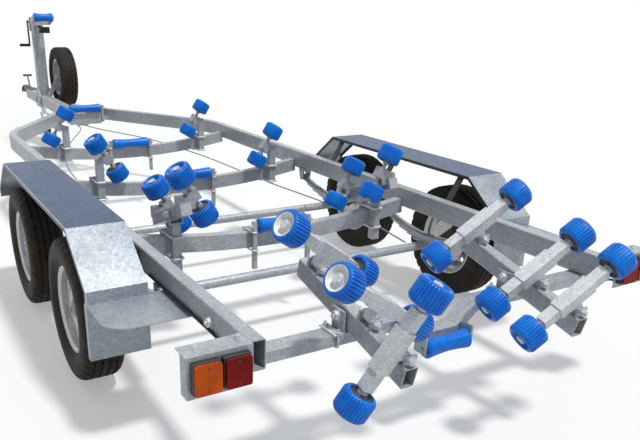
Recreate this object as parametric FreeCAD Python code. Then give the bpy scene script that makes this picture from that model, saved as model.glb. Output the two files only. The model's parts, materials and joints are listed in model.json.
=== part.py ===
import FreeCAD, Part
import math
import os

V = FreeCAD.Vector
X_AXIS = V(1, 0, 0)
Y_AXIS = V(0, 1, 0)
Z_AXIS = V(0, 0, 1)
LEFT, RIGHT = -1, 1
SIDES = {"left": LEFT, "right": RIGHT}

# A tandem axle boat trailer with wobble rollers, in millimetres.
# +Y points to the coupling, +X to the right, Z = 0 is the ground.
# Stations along Y are measured from the middle of the axle pair. The finished
# pieces are moved back by LENGTH_MIDDLE, so that the origin is the middle of the length.
LENGTH_MIDDLE = 1985.75

# Running fits and gaps
RUN_GAP = 0.05
SEAT_GAP = 0.3
SIDE_GAP = 1.0

# Wheels
TRACK = 1990.0
AXLE_SPACING = 896.0
TYRE_RADIUS = 294.0
TYRE_WIDTH = 168.0
BEAD_RADIUS = 165.0
BEAD_HALF_WIDTH = 58.0
FLANGE_RADIUS = 178.0
FLANGE_THICKNESS = 6.0
BARREL_WALL = 4.0
WELL_RADIUS = 146.0
DISC_FACE_OFFSET = 22.0
DISC_THICKNESS = 6.0
VENT_COUNT = 8
VENT_RADIUS = 13.0
VENT_CIRCLE = 118.0
HUB_RADIUS = 34.0
HUB_INNER = -52.0
HUB_CAP_RADIUS = 26.0
HUB_CAP_LENGTH = 34.0
BRAKE_DISC_RADIUS = 118.0
BRAKE_DISC_THICKNESS = 10.0
BRAKE_DISC_INSET = 4.0

# Chassis tubes
RAIL_TOP = 565.0
RAIL_HEIGHT = 100.0
RAIL_WIDTH = 50.0
RAIL_WALL = 4.0
RAIL_CORNER = 8.0
RAIL_TYRE_GAP = 111.0
RAIL_OUTER_X = TRACK / 2 - TYRE_WIDTH / 2 - RAIL_TYRE_GAP
RAIL_REAR_Y = -1545.0
RAIL_CORNER_Y = 2250.0
RAIL_BEND_RADIUS = 500.0
RAIL_BEND_ANGLE = 31.0
DRAWBAR_WIDTH = 100.0
DRAWBAR_TOP = 510.0
DRAWBAR_LAP = 239.816599
RAIL_MEET_Y = RAIL_CORNER_Y + (RAIL_OUTER_X - RAIL_WIDTH / 2) / math.tan(math.radians(RAIL_BEND_ANGLE))
DRAWBAR_REAR_Y = RAIL_MEET_Y - DRAWBAR_LAP
DRAWBAR_FRONT_Y = 5430.0
SLOT_Y = -1270.0
SLOT_LENGTH = 46.0
SLOT_WIDTH = 22.0

# Bent cross-members, and the flat one below the rails' rear ends
MEMBER_STATIONS = (2020.0, 880.0, -255.0)
MEMBER_HEIGHT = 75.0
MEMBER_WIDTH = 50.0
MEMBER_MIDDLE_TOP = 442.0
MEMBER_END_TOP = 510.0
REAR_MEMBER_Y = -1417.0
REAR_MEMBER_DEPTH = 70.0
REAR_MEMBER_HEIGHT = 40.0
REAR_MEMBER_FLAT_HALF = 85.0
REAR_MEMBER_BEND_HALF = 185.0
REAR_MEMBER_DROP = 80.0

# Axles, springs and brakes
AXLE_DIAMETER = 45.0
AXLE_END_INSET = 95.0
AXLE_HALF = TRACK / 2 - AXLE_END_INSET
STUB_RADIUS = 16.0
STUB_REACH = 16.0
SPRING_HALF = 320.0
SPRING_WIDTH = 45.0
SPRING_EYE_Z = 408.0
LEAF_THICKNESS = 8.0
LEAF_COUNT = 4
LEAF_STEP = 70.0
EYE_RADIUS = 17.0
HANGER_PLATE = 6.0
HANGER_LENGTH = 60.0
SPRING_PLATE_LENGTH = 110.0
CALIPER_ANGLE = 50.0
CALIPER_SIDE = 14.0
CALIPER_CLEARANCE = 1.5
CALIPER_INNER_RADIUS = 82.0
CALIPER_OVERHANG = 12.0
CALIPER_SPAN = 46.0
CALIPER_PLATE = 8.0
CALIPER_PLATE_HALF = 28.0

# Mudguards, one long arch over each pair of wheels
GUARD_INNER_REACH = 131.0
GUARD_OUTER_REACH = 92.0
GUARD_INNER_X = TRACK / 2 - GUARD_INNER_REACH
GUARD_OUTER_X = TRACK / 2 + GUARD_OUTER_REACH
GUARD_TOP = 689.0
GUARD_FLAT_REAR = -638.0
GUARD_FLAT_FRONT = 592.0
GUARD_SLOPE_RUN = 221.0
GUARD_SLOPE_DROP = 169.0
GUARD_SHEET = 3.0
GUARD_LIP = 16.0
STEP_Z = 470.0
STEP_REAR_Y = -1110.0
STEP_CORNER = 90.0
FLAP_BOTTOM = 256.0
FLAP_RETURN = 30.0
STAY_STATIONS = (-560.0, -23.0, 514.0)
STAY_WIDTH = 40.0
STAY_THICKNESS = 6.0
STAY_REACH = 34.0

# Keel rollers
KEEL_ROLLER_LENGTH = 262.0
KEEL_END_RADIUS = 36.0
KEEL_WAIST_RADIUS = 29.0
KEEL_PIN_RADIUS = 8.0
KEEL_POST_X = 148.0
KEEL_POST_SIZE = 20.0
KEEL_AXIS_ABOVE_MEMBER = 37.0
KEEL_POST_ABOVE_AXIS = 24.0
KEEL_POST_BOTTOM = 268.0
KEEL_FRONT_SETBACK = 120.0
KEEL_FRONT_Y = DRAWBAR_REAR_Y - KEEL_FRONT_SETBACK
KEEL_FRONT_Z = 574.0
KEEL_FRONT_POST_BOTTOM = 455.0
KEEL_LUG_Z = (476.0, 502.0)
KEEL_REAR_Z = 352.0
KEEL_REAR_LENGTH = 200.0
KEEL_REAR_PLATE = 8.0
KEEL_REAR_PLATE_DROP = 18.0
KEEL_REAR_GAP = 6.0
KEEL_PIN_END = 6.0
KEEL_CLAMP_SIZE = 44.0
KEEL_END_CHAMFER = 8.0

# Ribbed hull rollers, all of one size
ROLLER_RADIUS = 58.0
ROLLER_WIDTH = 80.0
ROLLER_CHAMFER = 9.0
ROLLER_RECESS_RADIUS = 42.0
ROLLER_RECESS_DEPTH = 16.0
ROLLER_ROD_RADIUS = 10.0
NUT_RADIUS = 17.0
NUT_LENGTH = 12.0
COLLAR_LENGTH = 10.0

# Twin rollers on fixed posts
POST_SIZE = 40.0
TWIN_SPREAD = 205.0
TWIN_X = 505.0
TWIN_Z = {"front": 630.0, "middle": 620.0}
TWIN_TILT = 57.0
TWIN_POST_OFFSET = 46.0
CLAMP_PLATE = 12.0
TWIN_POST_BOTTOM = 385.0
TWIN_BLOCK = 52.0
TWIN_BLOCK_DEPTH = 46.0
CLAMP_HEIGHT = 60.0
TWIN_STATIONS = {"front": MEMBER_STATIONS[0], "middle": MEMBER_STATIONS[1]}
FRONT_TWIN_TILT_SIGN = {LEFT: -1, RIGHT: 1}

# Rockers, each with two twin rollers, over the third cross-member
ROCKER_X = 546.0
ROCKER_PIVOT_Z = 596.0
ROCKER_SIZE = 50.0
ROCKER_FRONT_REACH = 238.0
ROCKER_REAR_REACH = 150.0
ROCKER_PITCH = 21.0
ROCKER_TWIN_RISE = 58.0
ROCKER_TWIN_TILT = 60.0
ROCKER_TWIN_INSET = 28.0
ROCKER_TWIN_X = 498.0
ROCKER_POST_BOTTOM = 325.0
ROCKER_CHEEK = 6.0
ROCKER_PIN_RADIUS = 10.0
ROCKER_PIN_END = 6.0
ROCKER_CHEEK_ABOVE_PIN = 16.0
ROCKER_NECK_GAP = 14.0
ROCKER_SADDLE = 8.0

# Rear cradles: a beam that pitches and three arms that rock on it
BEAM_X = 378.0
BEAM_WIDTH = 50.0
BEAM_HEIGHT = 75.0
BEAM_WALL = 4.0
BEAM_CORNER = 7.0
BEAM_PIVOT_Z = 518.0
BEAM_FRONT_REACH = 291.0
BEAM_REAR_REACH = 343.0
BEAM_PITCH = 14.0
BEAM_PIN_RADIUS = 12.0
BEAM_CHEEK = 8.0
BEAM_CHEEK_GAP = 5.0
BEAM_CHEEK_WIDTH = 70.0
BEAM_CHEEK_ABOVE_PIN = 22.0
BEAM_PIN_END = 8.0
BEAM_SLEEVE_WALL = 6.0
ARM_STATIONS = (210.0, -114.0, -295.0)
ARM_SLEEVE_SIZE = 50.0
ARM_SLEEVE_HALF = 76.0
ARM_TUBE_SIZE = 40.0
ARM_TUBE_HALF = 145.0
ARM_PIN_ABOVE_BEAM = 20.0
ARM_RISE = 59.0
ARM_ROLLER_REACH = 202.0
ARM_TILTS = {LEFT: (35.0, 35.0, -63.0), RIGHT: (35.0, 35.0, 35.0)}
ARM_PIN_RADIUS = 8.0
ARM_FOOT_RADIUS = 14.0
ARM_EAR = 8.0
ARM_EAR_WIDTH = 44.0
ARM_EAR_ABOVE_PIN = 14.0
ARM_PIN_END = 4.0

# Winch post, bow roller and winch
WINCH_POST_Y = 4800.0
WINCH_POST_WIDTH = 100.0
WINCH_POST_DEPTH = 90.0
WINCH_POST_TOP = 1210.0
POST_FOOT_LENGTH = 230.0
POST_FOOT_PLATE = 8.0
POST_FOOT_DROP = 120.0
POST_FOOT_RISE = 70.0
BOW_ROLLER_Y = 4470.0
BOW_ROLLER_Z = 1280.0
BOW_ROLLER_RADIUS = 42.0
BOW_ROLLER_WAIST = 33.0
BOW_ROLLER_LENGTH = 176.0
BOW_PIN_RADIUS = 9.0
BOW_ARM_PLATE = 6.0
BOW_ARM_HEIGHT = 50.0
BOW_ARM_END = 16.0
BOW_PIN_END = 8.0
BOW_NECK_WIDTH = 50.0
BOW_YOKE_Y = 4634.0
BOW_YOKE_PLATE = 8.0
BOW_STOP_SIZE = (90.0, 60.0, 56.0)
BOW_STOP_Z = 1165.0
BOW_STOP_BAR = 36.0
DRUM_Y = 4902.0
DRUM_Z = 1225.0
DRUM_RADIUS = 48.0
DRUM_CORE_RADIUS = 26.0
DRUM_LENGTH = 84.0
DRUM_SHAFT_RADIUS = 8.0
DRUM_SHAFT_END = 8.0
DRUM_FLANGE = 4.0
WINCH_CHEEK = 5.0
WINCH_CHEEK_HEIGHT = 70.0
WINCH_CHEEK_MARGIN = 30.0
CRANK_X = -68.0
CRANK_LENGTH = 238.0
CRANK_BAR = 14.0
CRANK_BAR_WIDTH = 22.0
CRANK_END = 16.0
CRANK_GRIP_RADIUS = 14.0
CRANK_GRIP_LENGTH = 88.0

# Spare wheel beside the drawbar
SPARE_X = 182.0
SPARE_Y = 4650.0
SPARE_Z = 700.0
SPARE_ARM_SIZE = 40.0
SPARE_BOSS_LENGTH = 50.0

# Coupling and hand brake
COUPLING_BALL_RADIUS = 25.5
COUPLING_SOCKET_DEPTH = 34.0
COUPLING_Y = 5760.0
COUPLING_HEAD_RADIUS = 42.0
COUPLING_BASE_Z = 442.0
COUPLING_HEAD_HEIGHT = 72.0
LEVER_TOP = (5560.0, 640.0)
LEVER_RADIUS = 12.0
COUPLING_PLATE = 8.0
COUPLING_PLATE_LENGTH = 170.0
COUPLING_PLATE_WIDTH = 88.0
COUPLING_NECK_WIDTH = 52.0
LEVER_FOOT = 60.0
LEVER_THICKNESS = 12.0
LEVER_WIDTH = 26.0
LEVER_GRIP_HALF = 46.0

# Jockey wheel on the drawbar's right side, standing on the ground
JOCKEY_X = 104.0
JOCKEY_Y = 5385.0
JOCKEY_TUBE_RADIUS = 30.0
JOCKEY_LEG_RADIUS = 24.0
JOCKEY_TUBE_BOTTOM = 330.0
JOCKEY_TUBE_TOP = 700.0
JOCKEY_LEG_BOTTOM = 248.0
JOCKEY_LEG_TOP = 600.0
JOCKEY_LIFT = 86.0
JOCKEY_WHEEL_RADIUS = 100.0
JOCKEY_WHEEL_WIDTH = 60.0
JOCKEY_TRAIL = 55.0
JOCKEY_CLAMP_HALF = 42.0
JOCKEY_CLAMP_INSET = 10.0
JOCKEY_AXLE_RADIUS = 8.0
JOCKEY_PIN_RADIUS = 9.0
JOCKEY_RING_RADIUS = 38.0
JOCKEY_SIDE_GAP = 2.0
JOCKEY_CROWN_REACH = 32.0
JOCKEY_FORK_FOOT = 16.0
JOCKEY_CRANK_REACH = (70.0, 40.0, 0.0)
JOCKEY_CRANK_WIDTH = 16.0
JOCKEY_CRANK_THICKNESS = 8.0
JOCKEY_KNOB_RADIUS = 11.0
JOCKEY_KNOB_LENGTH = 48.0
JOCKEY_FORK_PLATE = 6.0
JOCKEY_CROWN = 12.0
JOCKEY_HANDLE_Z = 762.0

# Lamp brackets on the rails' rear ends
LAMP_PLATE_REACH = 205.0
LAMP_PLATE_OUTER_X = RAIL_OUTER_X + LAMP_PLATE_REACH
LAMP_PLATE_Y = -1560.0
LAMP_PLATE_TOP = 568.0
LAMP_PLATE_BOTTOM = 438.0
LAMP_SHEET = 3.0
LAMP_FLANGE = 75.0
LAMP_WIDTH = 80.0
LAMP_HEIGHT = 92.0
LAMP_DEPTH = 34.0
LAMP_CORNER = 9.0
LAMP_OUTER_MARGIN = 14.0
LAMP_GAP = 12.0
LAMP_TOP_MARGIN = 16.0

RAIL_INNER_X = RAIL_OUTER_X - RAIL_WIDTH
RAIL_CENTRE_X = RAIL_OUTER_X - RAIL_WIDTH / 2
RAIL_BOTTOM = RAIL_TOP - RAIL_HEIGHT
DRAWBAR_BOTTOM = DRAWBAR_TOP - RAIL_HEIGHT
AXLE_STATIONS = {"front": AXLE_SPACING / 2, "rear": -AXLE_SPACING / 2}
FLANGE_FACE = BEAD_HALF_WIDTH + SEAT_GAP + FLANGE_THICKNESS


def box(x_range, y_range, z_range):
    low = V(min(x_range), min(y_range), min(z_range))
    size = [abs(r[1] - r[0]) for r in (x_range, y_range, z_range)]
    return Part.makeBox(size[0], size[1], size[2], low)


def rod(start, end, radius):
    along = end - start
    return Part.makeCylinder(radius, along.Length, start, along)


def bar_between(start, end, across, width, thickness):
    """A flat bar from start to end: width lies along across, thickness is square to both."""
    along = (end - start).normalize()
    flat = V(across).normalize()
    normal = along.cross(flat)
    corner = start - flat * (width / 2) - normal * (thickness / 2)
    points = [corner, corner + flat * width, corner + flat * width + normal * thickness,
              corner + normal * thickness, corner]
    return Part.Face(Part.makePolygon(points)).extrude(end - start)


def prism(points, depth):
    """A closed outline of points, extruded by the vector depth."""
    return Part.Face(Part.makePolygon(points + [points[0]])).extrude(depth)


def turned(profile, centre, axis=X_AXIS):
    """Revolves (along, radius) points about the axis through centre."""
    side = Z_AXIS if abs(axis.z) < 0.9 else X_AXIS
    side = (side - axis * side.dot(axis)).normalize()
    points = [centre + axis * a + side * r for a, r in profile]
    return Part.Face(Part.makePolygon(points + [points[0]])).revolve(centre, axis, 360)


def fused(shapes):
    first, rest = shapes[0], shapes[1:]
    return first.multiFuse(rest).removeSplitter() if rest else first


def mirrored(shape):
    return shape.mirror(V(0, 0, 0), X_AXIS)


def on_side(shape, side):
    """A shape that is drawn on the right, placed on the given side."""
    return shape if side == RIGHT else mirrored(shape)


def both_sides(shape):
    return Part.makeCompound([shape, mirrored(shape)])


def save(name, shape):
    moved = shape.copy()
    moved.translate(V(0, -LENGTH_MIDDLE, 0))
    moved.exportStep(os.path.join("parts", name + ".step"))


def rounded_section(centre, half_width, half_height, corner):
    """A rounded rectangle face in the XZ plane."""
    x, z, r = half_width, half_height, corner
    k = r * (1 - math.sqrt(0.5))
    at = lambda dx, dz: centre + V(dx, 0, dz)
    edges = []
    for sx, sz in ((1, 1), (-1, 1), (-1, -1), (1, -1)):
        first, last = at(sx * x, sz * (z - r)), at(sx * (x - r), sz * z)
        if sx * sz < 0:
            first, last = last, first
        edges.append(Part.Arc(first, at(sx * (x - k), sz * (z - k)), last).toShape())
    lines = []
    for index, edge in enumerate(edges):
        after = edges[(index + 1) % 4]
        lines.append(Part.LineSegment(edge.Vertexes[-1].Point, after.Vertexes[0].Point).toShape())
    wire = Part.Wire(Part.__sortEdges__(edges + lines))
    return Part.Face(wire)


def rail_bar(inset, rear_overrun):
    """The right rail's outline: straight, bent inwards, slanted to the drawbar's side and over its top."""
    tangent = RAIL_BEND_RADIUS * math.tan(math.radians(RAIL_BEND_ANGLE / 2))
    bend_y = RAIL_CORNER_Y - tangent
    rear_y = RAIL_REAR_Y - rear_overrun
    rear = V(RAIL_CENTRE_X, rear_y, RAIL_TOP - RAIL_HEIGHT / 2)
    section = rounded_section(rear, RAIL_WIDTH / 2 - inset, RAIL_HEIGHT / 2 - inset, RAIL_CORNER - inset)
    straight = section.extrude(V(0, bend_y - rear_y, 0))
    section.translate(V(0, bend_y - rear_y, 0))
    pivot = V(RAIL_CENTRE_X - RAIL_BEND_RADIUS, bend_y, 0)
    bend = section.revolve(pivot, Z_AXIS, RAIL_BEND_ANGLE)
    section.rotate(pivot, Z_AXIS, RAIL_BEND_ANGLE)
    slant = math.radians(RAIL_BEND_ANGLE)
    reach = RAIL_CENTRE_X / math.sin(slant)
    slanted = section.extrude(V(-math.sin(slant), math.cos(slant), 0) * reach)
    bar = fused([straight, bend, slanted])
    far = 4 * RAIL_OUTER_X
    beyond_middle = box((-far, SIDE_GAP / 2 + inset), (0, 2 * far), (0, RAIL_TOP + RAIL_HEIGHT))
    beside_drawbar = box((-far, DRAWBAR_WIDTH / 2 + inset), (0, 2 * far), (0, DRAWBAR_TOP + inset))
    return bar.cut(beyond_middle).cut(beside_drawbar)


def side_rail():
    rail = rail_bar(0.0, 0.0).cut(rail_bar(RAIL_WALL, RAIL_WALL))
    slot_z = RAIL_TOP - RAIL_HEIGHT / 2
    half = (SLOT_LENGTH - SLOT_WIDTH) / 2
    outside = (RAIL_OUTER_X - 2 * RAIL_WALL, RAIL_OUTER_X + RAIL_WALL)
    slot = [box(outside, (SLOT_Y - SLOT_WIDTH / 2, SLOT_Y + SLOT_WIDTH / 2), (slot_z - half, slot_z + half))]
    for z in (slot_z - half, slot_z + half):
        slot.append(rod(V(outside[0], SLOT_Y, z), V(outside[1], SLOT_Y, z), SLOT_WIDTH / 2))
    return rail.cut(fused(slot))


def side_rails():
    save("side_rails", both_sides(side_rail()))


def drawbar():
    """The centre tube, lower than the rails that meet its sides, and the arm of the spare wheel."""
    centre = V(0, DRAWBAR_REAR_Y, DRAWBAR_TOP - RAIL_HEIGHT / 2)
    half = DRAWBAR_WIDTH / 2
    length = V(0, DRAWBAR_FRONT_Y - DRAWBAR_REAR_Y, 0)
    outer = rounded_section(centre, half, RAIL_HEIGHT / 2, RAIL_CORNER).extrude(length)
    wall = RAIL_WALL
    inner = rounded_section(centre, half - wall, RAIL_HEIGHT / 2 - wall, RAIL_CORNER - wall).extrude(length)
    tube = outer.cut(inner)
    flange_x = SPARE_X - DISC_FACE_OFFSET - SEAT_GAP
    foot = V(SPARE_ARM_SIZE / 2, SPARE_Y, DRAWBAR_TOP - RAIL_WALL)
    head = V(flange_x - SPARE_BOSS_LENGTH / 2, SPARE_Y, SPARE_Z)
    arm = bar_between(foot, head, Y_AXIS, SPARE_ARM_SIZE, SPARE_ARM_SIZE)
    flange = V(flange_x, SPARE_Y, SPARE_Z)
    boss = rod(flange - X_AXIS * SPARE_BOSS_LENGTH, flange, HUB_RADIUS)
    below_foot = box((-half, half), (SPARE_Y - half, SPARE_Y + half), (0, foot.z))
    save("drawbar", fused([tube, arm.cut(below_foot), boss]))


def bent_member(station):
    """A cross-member rolled to an arc, lowest in the middle, its ends on the rails' inner faces."""
    y = station - MEMBER_WIDTH / 2
    sag = MEMBER_END_TOP - MEMBER_MIDDLE_TOP
    radius = (RAIL_INNER_X ** 2 + sag ** 2) / (2 * sag)
    centre = V(0, y, MEMBER_MIDDLE_TOP + radius)
    ring = Part.makeCylinder(radius + MEMBER_HEIGHT, MEMBER_WIDTH, centre, Y_AXIS)
    ring = ring.cut(Part.makeCylinder(radius, MEMBER_WIDTH, centre, Y_AXIS))
    return ring.common(box((-RAIL_INNER_X, RAIL_INNER_X), (y, y + MEMBER_WIDTH), (0, RAIL_TOP)))


def rear_member():
    """A flat tube below both rails, dropped in the middle for the keel."""
    y = REAR_MEMBER_Y - REAR_MEMBER_DEPTH / 2
    low = RAIL_BOTTOM - REAR_MEMBER_DROP
    top = [V(-RAIL_OUTER_X, y, RAIL_BOTTOM), V(-REAR_MEMBER_BEND_HALF, y, RAIL_BOTTOM),
           V(-REAR_MEMBER_FLAT_HALF, y, low), V(REAR_MEMBER_FLAT_HALF, y, low),
           V(REAR_MEMBER_BEND_HALF, y, RAIL_BOTTOM), V(RAIL_OUTER_X, y, RAIL_BOTTOM)]
    bottom = [p - V(0, 0, REAR_MEMBER_HEIGHT) for p in reversed(top)]
    return prism(top + bottom, V(0, REAR_MEMBER_DEPTH, 0))


def cross_members():
    save("cross_members", Part.makeCompound([bent_member(y) for y in MEMBER_STATIONS] + [rear_member()]))


def tyre(centre):
    w, b = TYRE_WIDTH / 2, BEAD_HALF_WIDTH
    crown = TYRE_RADIUS
    half = [(b, BEAD_RADIUS), (b, FLANGE_RADIUS + 2), (w - 6, FLANGE_RADIUS + 22),
            (w, 0.5 * (crown + BEAD_RADIUS)), (w - 4, crown - 28), (w - 15, crown - 9), (w - 32, crown - 2),
            (0.0, crown)]
    profile = half + [(-a, r) for a, r in reversed(half[:-1])]
    return turned(profile, centre)


def rim(centre, outward):
    """Pressed wheel: drop-centre barrel, dished disc with vents, drawn with +X outwards."""
    b, face = BEAD_HALF_WIDTH + SEAT_GAP, FLANGE_FACE
    seat = BEAD_RADIUS - SEAT_GAP
    upper = [(-face, FLANGE_RADIUS), (-b, FLANGE_RADIUS), (-b, seat), (-34, seat), (-22, WELL_RADIUS),
             (14, WELL_RADIUS), (28, seat), (b, seat), (b, FLANGE_RADIUS), (face, FLANGE_RADIUS)]
    lower = [(a, r - BARREL_WALL) for a, r in reversed(upper[3:-3])]
    wall = [(face, FLANGE_RADIUS - FLANGE_THICKNESS), (b - BARREL_WALL, seat - BARREL_WALL)]
    back = [(BARREL_WALL - b, seat - BARREL_WALL), (-face, FLANGE_RADIUS - FLANGE_THICKNESS)]
    barrel = turned([(outward * a, r) for a, r in upper + wall + lower + back], centre)
    d, t = DISC_FACE_OFFSET, DISC_THICKNESS
    inner_wall = WELL_RADIUS - BARREL_WALL / 2
    disc_profile = [(d, 0), (d, 70), (d + 14, 92), (d + 8, 128), (4, inner_wall), (4 - t, inner_wall),
                    (d + 8 - t, 126), (d + 14 - t, 94), (d - t, 72), (d - t, 0)]
    disc = turned([(outward * a, r) for a, r in disc_profile], centre)
    vents = []
    for index in range(VENT_COUNT):
        angle = 2 * math.pi * (index + 0.5) / VENT_COUNT
        spot = centre + V(0, math.cos(angle), math.sin(angle)) * VENT_CIRCLE
        vents.append(rod(spot - X_AXIS * 60, spot + X_AXIS * 60, VENT_RADIUS))
    return barrel, disc.cut(Part.makeCompound(vents))


def wheel_rim(centre, outward):
    """The rim with its hub and brake disc, bored for the stub axle."""
    barrel, disc = rim(centre, outward)
    at = lambda a: centre + X_AXIS * (outward * a)
    hub = rod(at(HUB_INNER), at(DISC_FACE_OFFSET + 14), HUB_RADIUS)
    cap = rod(at(DISC_FACE_OFFSET), at(DISC_FACE_OFFSET + HUB_CAP_LENGTH), HUB_CAP_RADIUS)
    brake_x = HUB_INNER + BRAKE_DISC_INSET
    brake = rod(at(brake_x), at(brake_x + BRAKE_DISC_THICKNESS), BRAKE_DISC_RADIUS)
    bore = rod(at(HUB_INNER - 1), at(STUB_REACH + SIDE_GAP), STUB_RADIUS + RUN_GAP)
    return fused([barrel, disc, hub, cap, brake]).cut(bore)


def road_wheels():
    for row, y in AXLE_STATIONS.items():
        for side_name, side in SIDES.items():
            centre = V(side * TRACK / 2, y, TYRE_RADIUS)
            save("rim_" + row + "_" + side_name, wheel_rim(centre, side))
            save("tyre_" + row + "_" + side_name, tyre(centre))


def spare_wheel():
    """Carried disc side inwards, flat against the boss of the carrier."""
    centre = V(SPARE_X, SPARE_Y, SPARE_Z)
    barrel, disc = rim(centre, LEFT)
    cap = rod(centre, centre - X_AXIS * (DISC_FACE_OFFSET - DISC_THICKNESS / 2), HUB_RADIUS)
    save("spare_rim", fused([barrel, disc, cap]))
    save("spare_tyre", tyre(centre))


def axles():
    shapes = []
    for y in AXLE_STATIONS.values():
        centre = V(0, y, TYRE_RADIUS)
        beam = rod(centre - X_AXIS * AXLE_HALF, centre + X_AXIS * AXLE_HALF, AXLE_DIAMETER / 2)
        stub_end = TRACK / 2 + STUB_REACH
        stubs = rod(centre - X_AXIS * stub_end, centre + X_AXIS * stub_end, STUB_RADIUS)
        shapes.append(fused([beam, stubs]))
    save("axles", Part.makeCompound(shapes))


def spring_pack(y):
    """Leaves on one centre of curvature, shorter towards the axle, with an eye at each end."""
    axle_top = TYRE_RADIUS + AXLE_DIAMETER / 2
    stack = LEAF_COUNT * LEAF_THICKNESS
    middle = axle_top + LEAF_THICKNESS + stack
    sag = SPRING_EYE_Z - middle
    radius = (SPRING_HALF ** 2 + sag ** 2) / (2 * sag)
    centre = V(RAIL_CENTRE_X - SPRING_WIDTH / 2, y, middle + radius)
    pieces = []
    for index in range(LEAF_COUNT):
        inner, outer = radius + index * LEAF_THICKNESS, radius + (index + 1) * LEAF_THICKNESS
        half_angle = math.asin((SPRING_HALF - index * LEAF_STEP) / radius)
        corners = []
        for r, angle in ((inner, -half_angle), (inner, 0), (inner, half_angle),
                         (outer, half_angle), (outer, 0), (outer, -half_angle)):
            corners.append(centre + V(0, r * math.sin(angle), -r * math.cos(angle)))
        wire = Part.Wire([Part.Arc(*corners[:3]).toShape(), Part.makeLine(corners[2], corners[3]),
                          Part.Arc(*corners[3:]).toShape(), Part.makeLine(corners[5], corners[0])])
        pieces.append(Part.Face(wire).extrude(X_AXIS * SPRING_WIDTH))
    eye_z = SPRING_EYE_Z
    for end in (-1, 1):
        start = V(RAIL_CENTRE_X - SPRING_WIDTH / 2, y + end * SPRING_HALF, eye_z)
        pieces.append(rod(start, start + X_AXIS * SPRING_WIDTH, EYE_RADIUS))
    half_width = SPRING_WIDTH / 2 + HANGER_PLATE
    half_length = SPRING_PLATE_LENGTH / 2
    pieces.append(box((RAIL_CENTRE_X - half_width, RAIL_CENTRE_X + half_width),
                      (y - half_length, y + half_length), (axle_top, axle_top + LEAF_THICKNESS)))
    return pieces


def spring_side():
    """Both springs of one side with their hangers and the balance link between them."""
    pieces = []
    for y in AXLE_STATIONS.values():
        pieces += spring_pack(y)
    gap = SPRING_WIDTH / 2
    inner_end = AXLE_SPACING / 2 - SPRING_HALF
    outer_end = AXLE_SPACING / 2 + SPRING_HALF
    for y in (-outer_end, 0.0, outer_end):
        low = SPRING_EYE_Z - EYE_RADIUS
        for side in (-1, 1):
            x = RAIL_CENTRE_X + side * (gap + HANGER_PLATE / 2)
            outline = [V(x, y - HANGER_LENGTH / 2, RAIL_BOTTOM), V(x, y - EYE_RADIUS, low),
                       V(x, y + EYE_RADIUS, low), V(x, y + HANGER_LENGTH / 2, RAIL_BOTTOM)]
            plate = prism(outline, X_AXIS * HANGER_PLATE)
            plate.translate(X_AXIS * (-HANGER_PLATE / 2))
            pieces.append(plate)
        reach = gap + HANGER_PLATE
        eye = V(RAIL_CENTRE_X, y, SPRING_EYE_Z)
        pieces.append(rod(eye - X_AXIS * reach, eye + X_AXIS * reach, EYE_RADIUS / 2))
        pieces.append(box((RAIL_CENTRE_X - reach, RAIL_CENTRE_X + reach),
                          (y - HANGER_LENGTH / 2, y + HANGER_LENGTH / 2),
                          (RAIL_BOTTOM - HANGER_PLATE, RAIL_BOTTOM)))
    x = RAIL_CENTRE_X - gap
    low, high = SPRING_EYE_Z - EYE_RADIUS, SPRING_EYE_Z + EYE_RADIUS
    link = [V(x, -inner_end, low), V(x, 0, low - EYE_RADIUS / 2), V(x, inner_end, low),
            V(x, inner_end, high), V(x, 0, high + EYE_RADIUS / 2), V(x, -inner_end, high)]
    pieces.append(prism(link, X_AXIS * SPRING_WIDTH))
    return fused(pieces)


def leaf_springs():
    save("leaf_springs", both_sides(spring_side()))


def brake_calipers():
    """A caliper over each brake disc, carried by a plate on the axle beam."""
    shapes = []
    disc_x = TRACK / 2 + HUB_INNER + BRAKE_DISC_INSET + BRAKE_DISC_THICKNESS / 2
    half = BRAKE_DISC_THICKNESS / 2 + CALIPER_SIDE
    slot_half = BRAKE_DISC_THICKNESS / 2 + CALIPER_CLEARANCE
    plate_x = AXLE_HALF - CALIPER_PLATE
    low, high = TYRE_RADIUS + CALIPER_INNER_RADIUS, TYRE_RADIUS + BRAKE_DISC_RADIUS + CALIPER_OVERHANG
    span, wide = CALIPER_SPAN, CALIPER_PLATE_HALF
    for y in AXLE_STATIONS.values():
        body = box((disc_x - half, disc_x + half), (y - span, y + span), (low, high))
        gap = box((disc_x - slot_half, disc_x + slot_half), (y - 2 * span, y + 2 * span),
                  (TYRE_RADIUS, TYRE_RADIUS + BRAKE_DISC_RADIUS + 2))
        plate = box((plate_x, AXLE_HALF), (y - wide, y + wide), (TYRE_RADIUS, high))
        bridge = box((plate_x, disc_x - slot_half), (y - wide, y + wide), (low, high))
        hole = rod(V(0, y, TYRE_RADIUS), V(TRACK, y, TYRE_RADIUS), AXLE_DIAMETER / 2)
        caliper = fused([body.cut(gap), plate.cut(hole), bridge])
        caliper.rotate(V(0, y, TYRE_RADIUS), X_AXIS, CALIPER_ANGLE)
        shapes.append(caliper)
    save("brake_calipers", both_sides(Part.makeCompound(shapes)))


def guard_outline(offset, x):
    """The arch seen from the side, moved inwards by offset."""
    slope = math.atan2(GUARD_SLOPE_DROP, GUARD_SLOPE_RUN)
    shift = offset * math.tan(slope / 2)
    low = GUARD_TOP - GUARD_SLOPE_DROP
    top = GUARD_TOP - offset
    rear, front = GUARD_FLAT_REAR - GUARD_SLOPE_RUN, GUARD_FLAT_FRONT + GUARD_SLOPE_RUN
    lean = math.pi / 2 - slope
    down = offset * math.tan(lean / 2)
    return [V(x, front - offset, STEP_Z), V(x, front - offset, low - down),
            V(x, GUARD_FLAT_FRONT - shift, top), V(x, GUARD_FLAT_REAR + shift, top),
            V(x, rear + offset, low - down), V(x, rear + offset, STEP_Z)]


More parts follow.
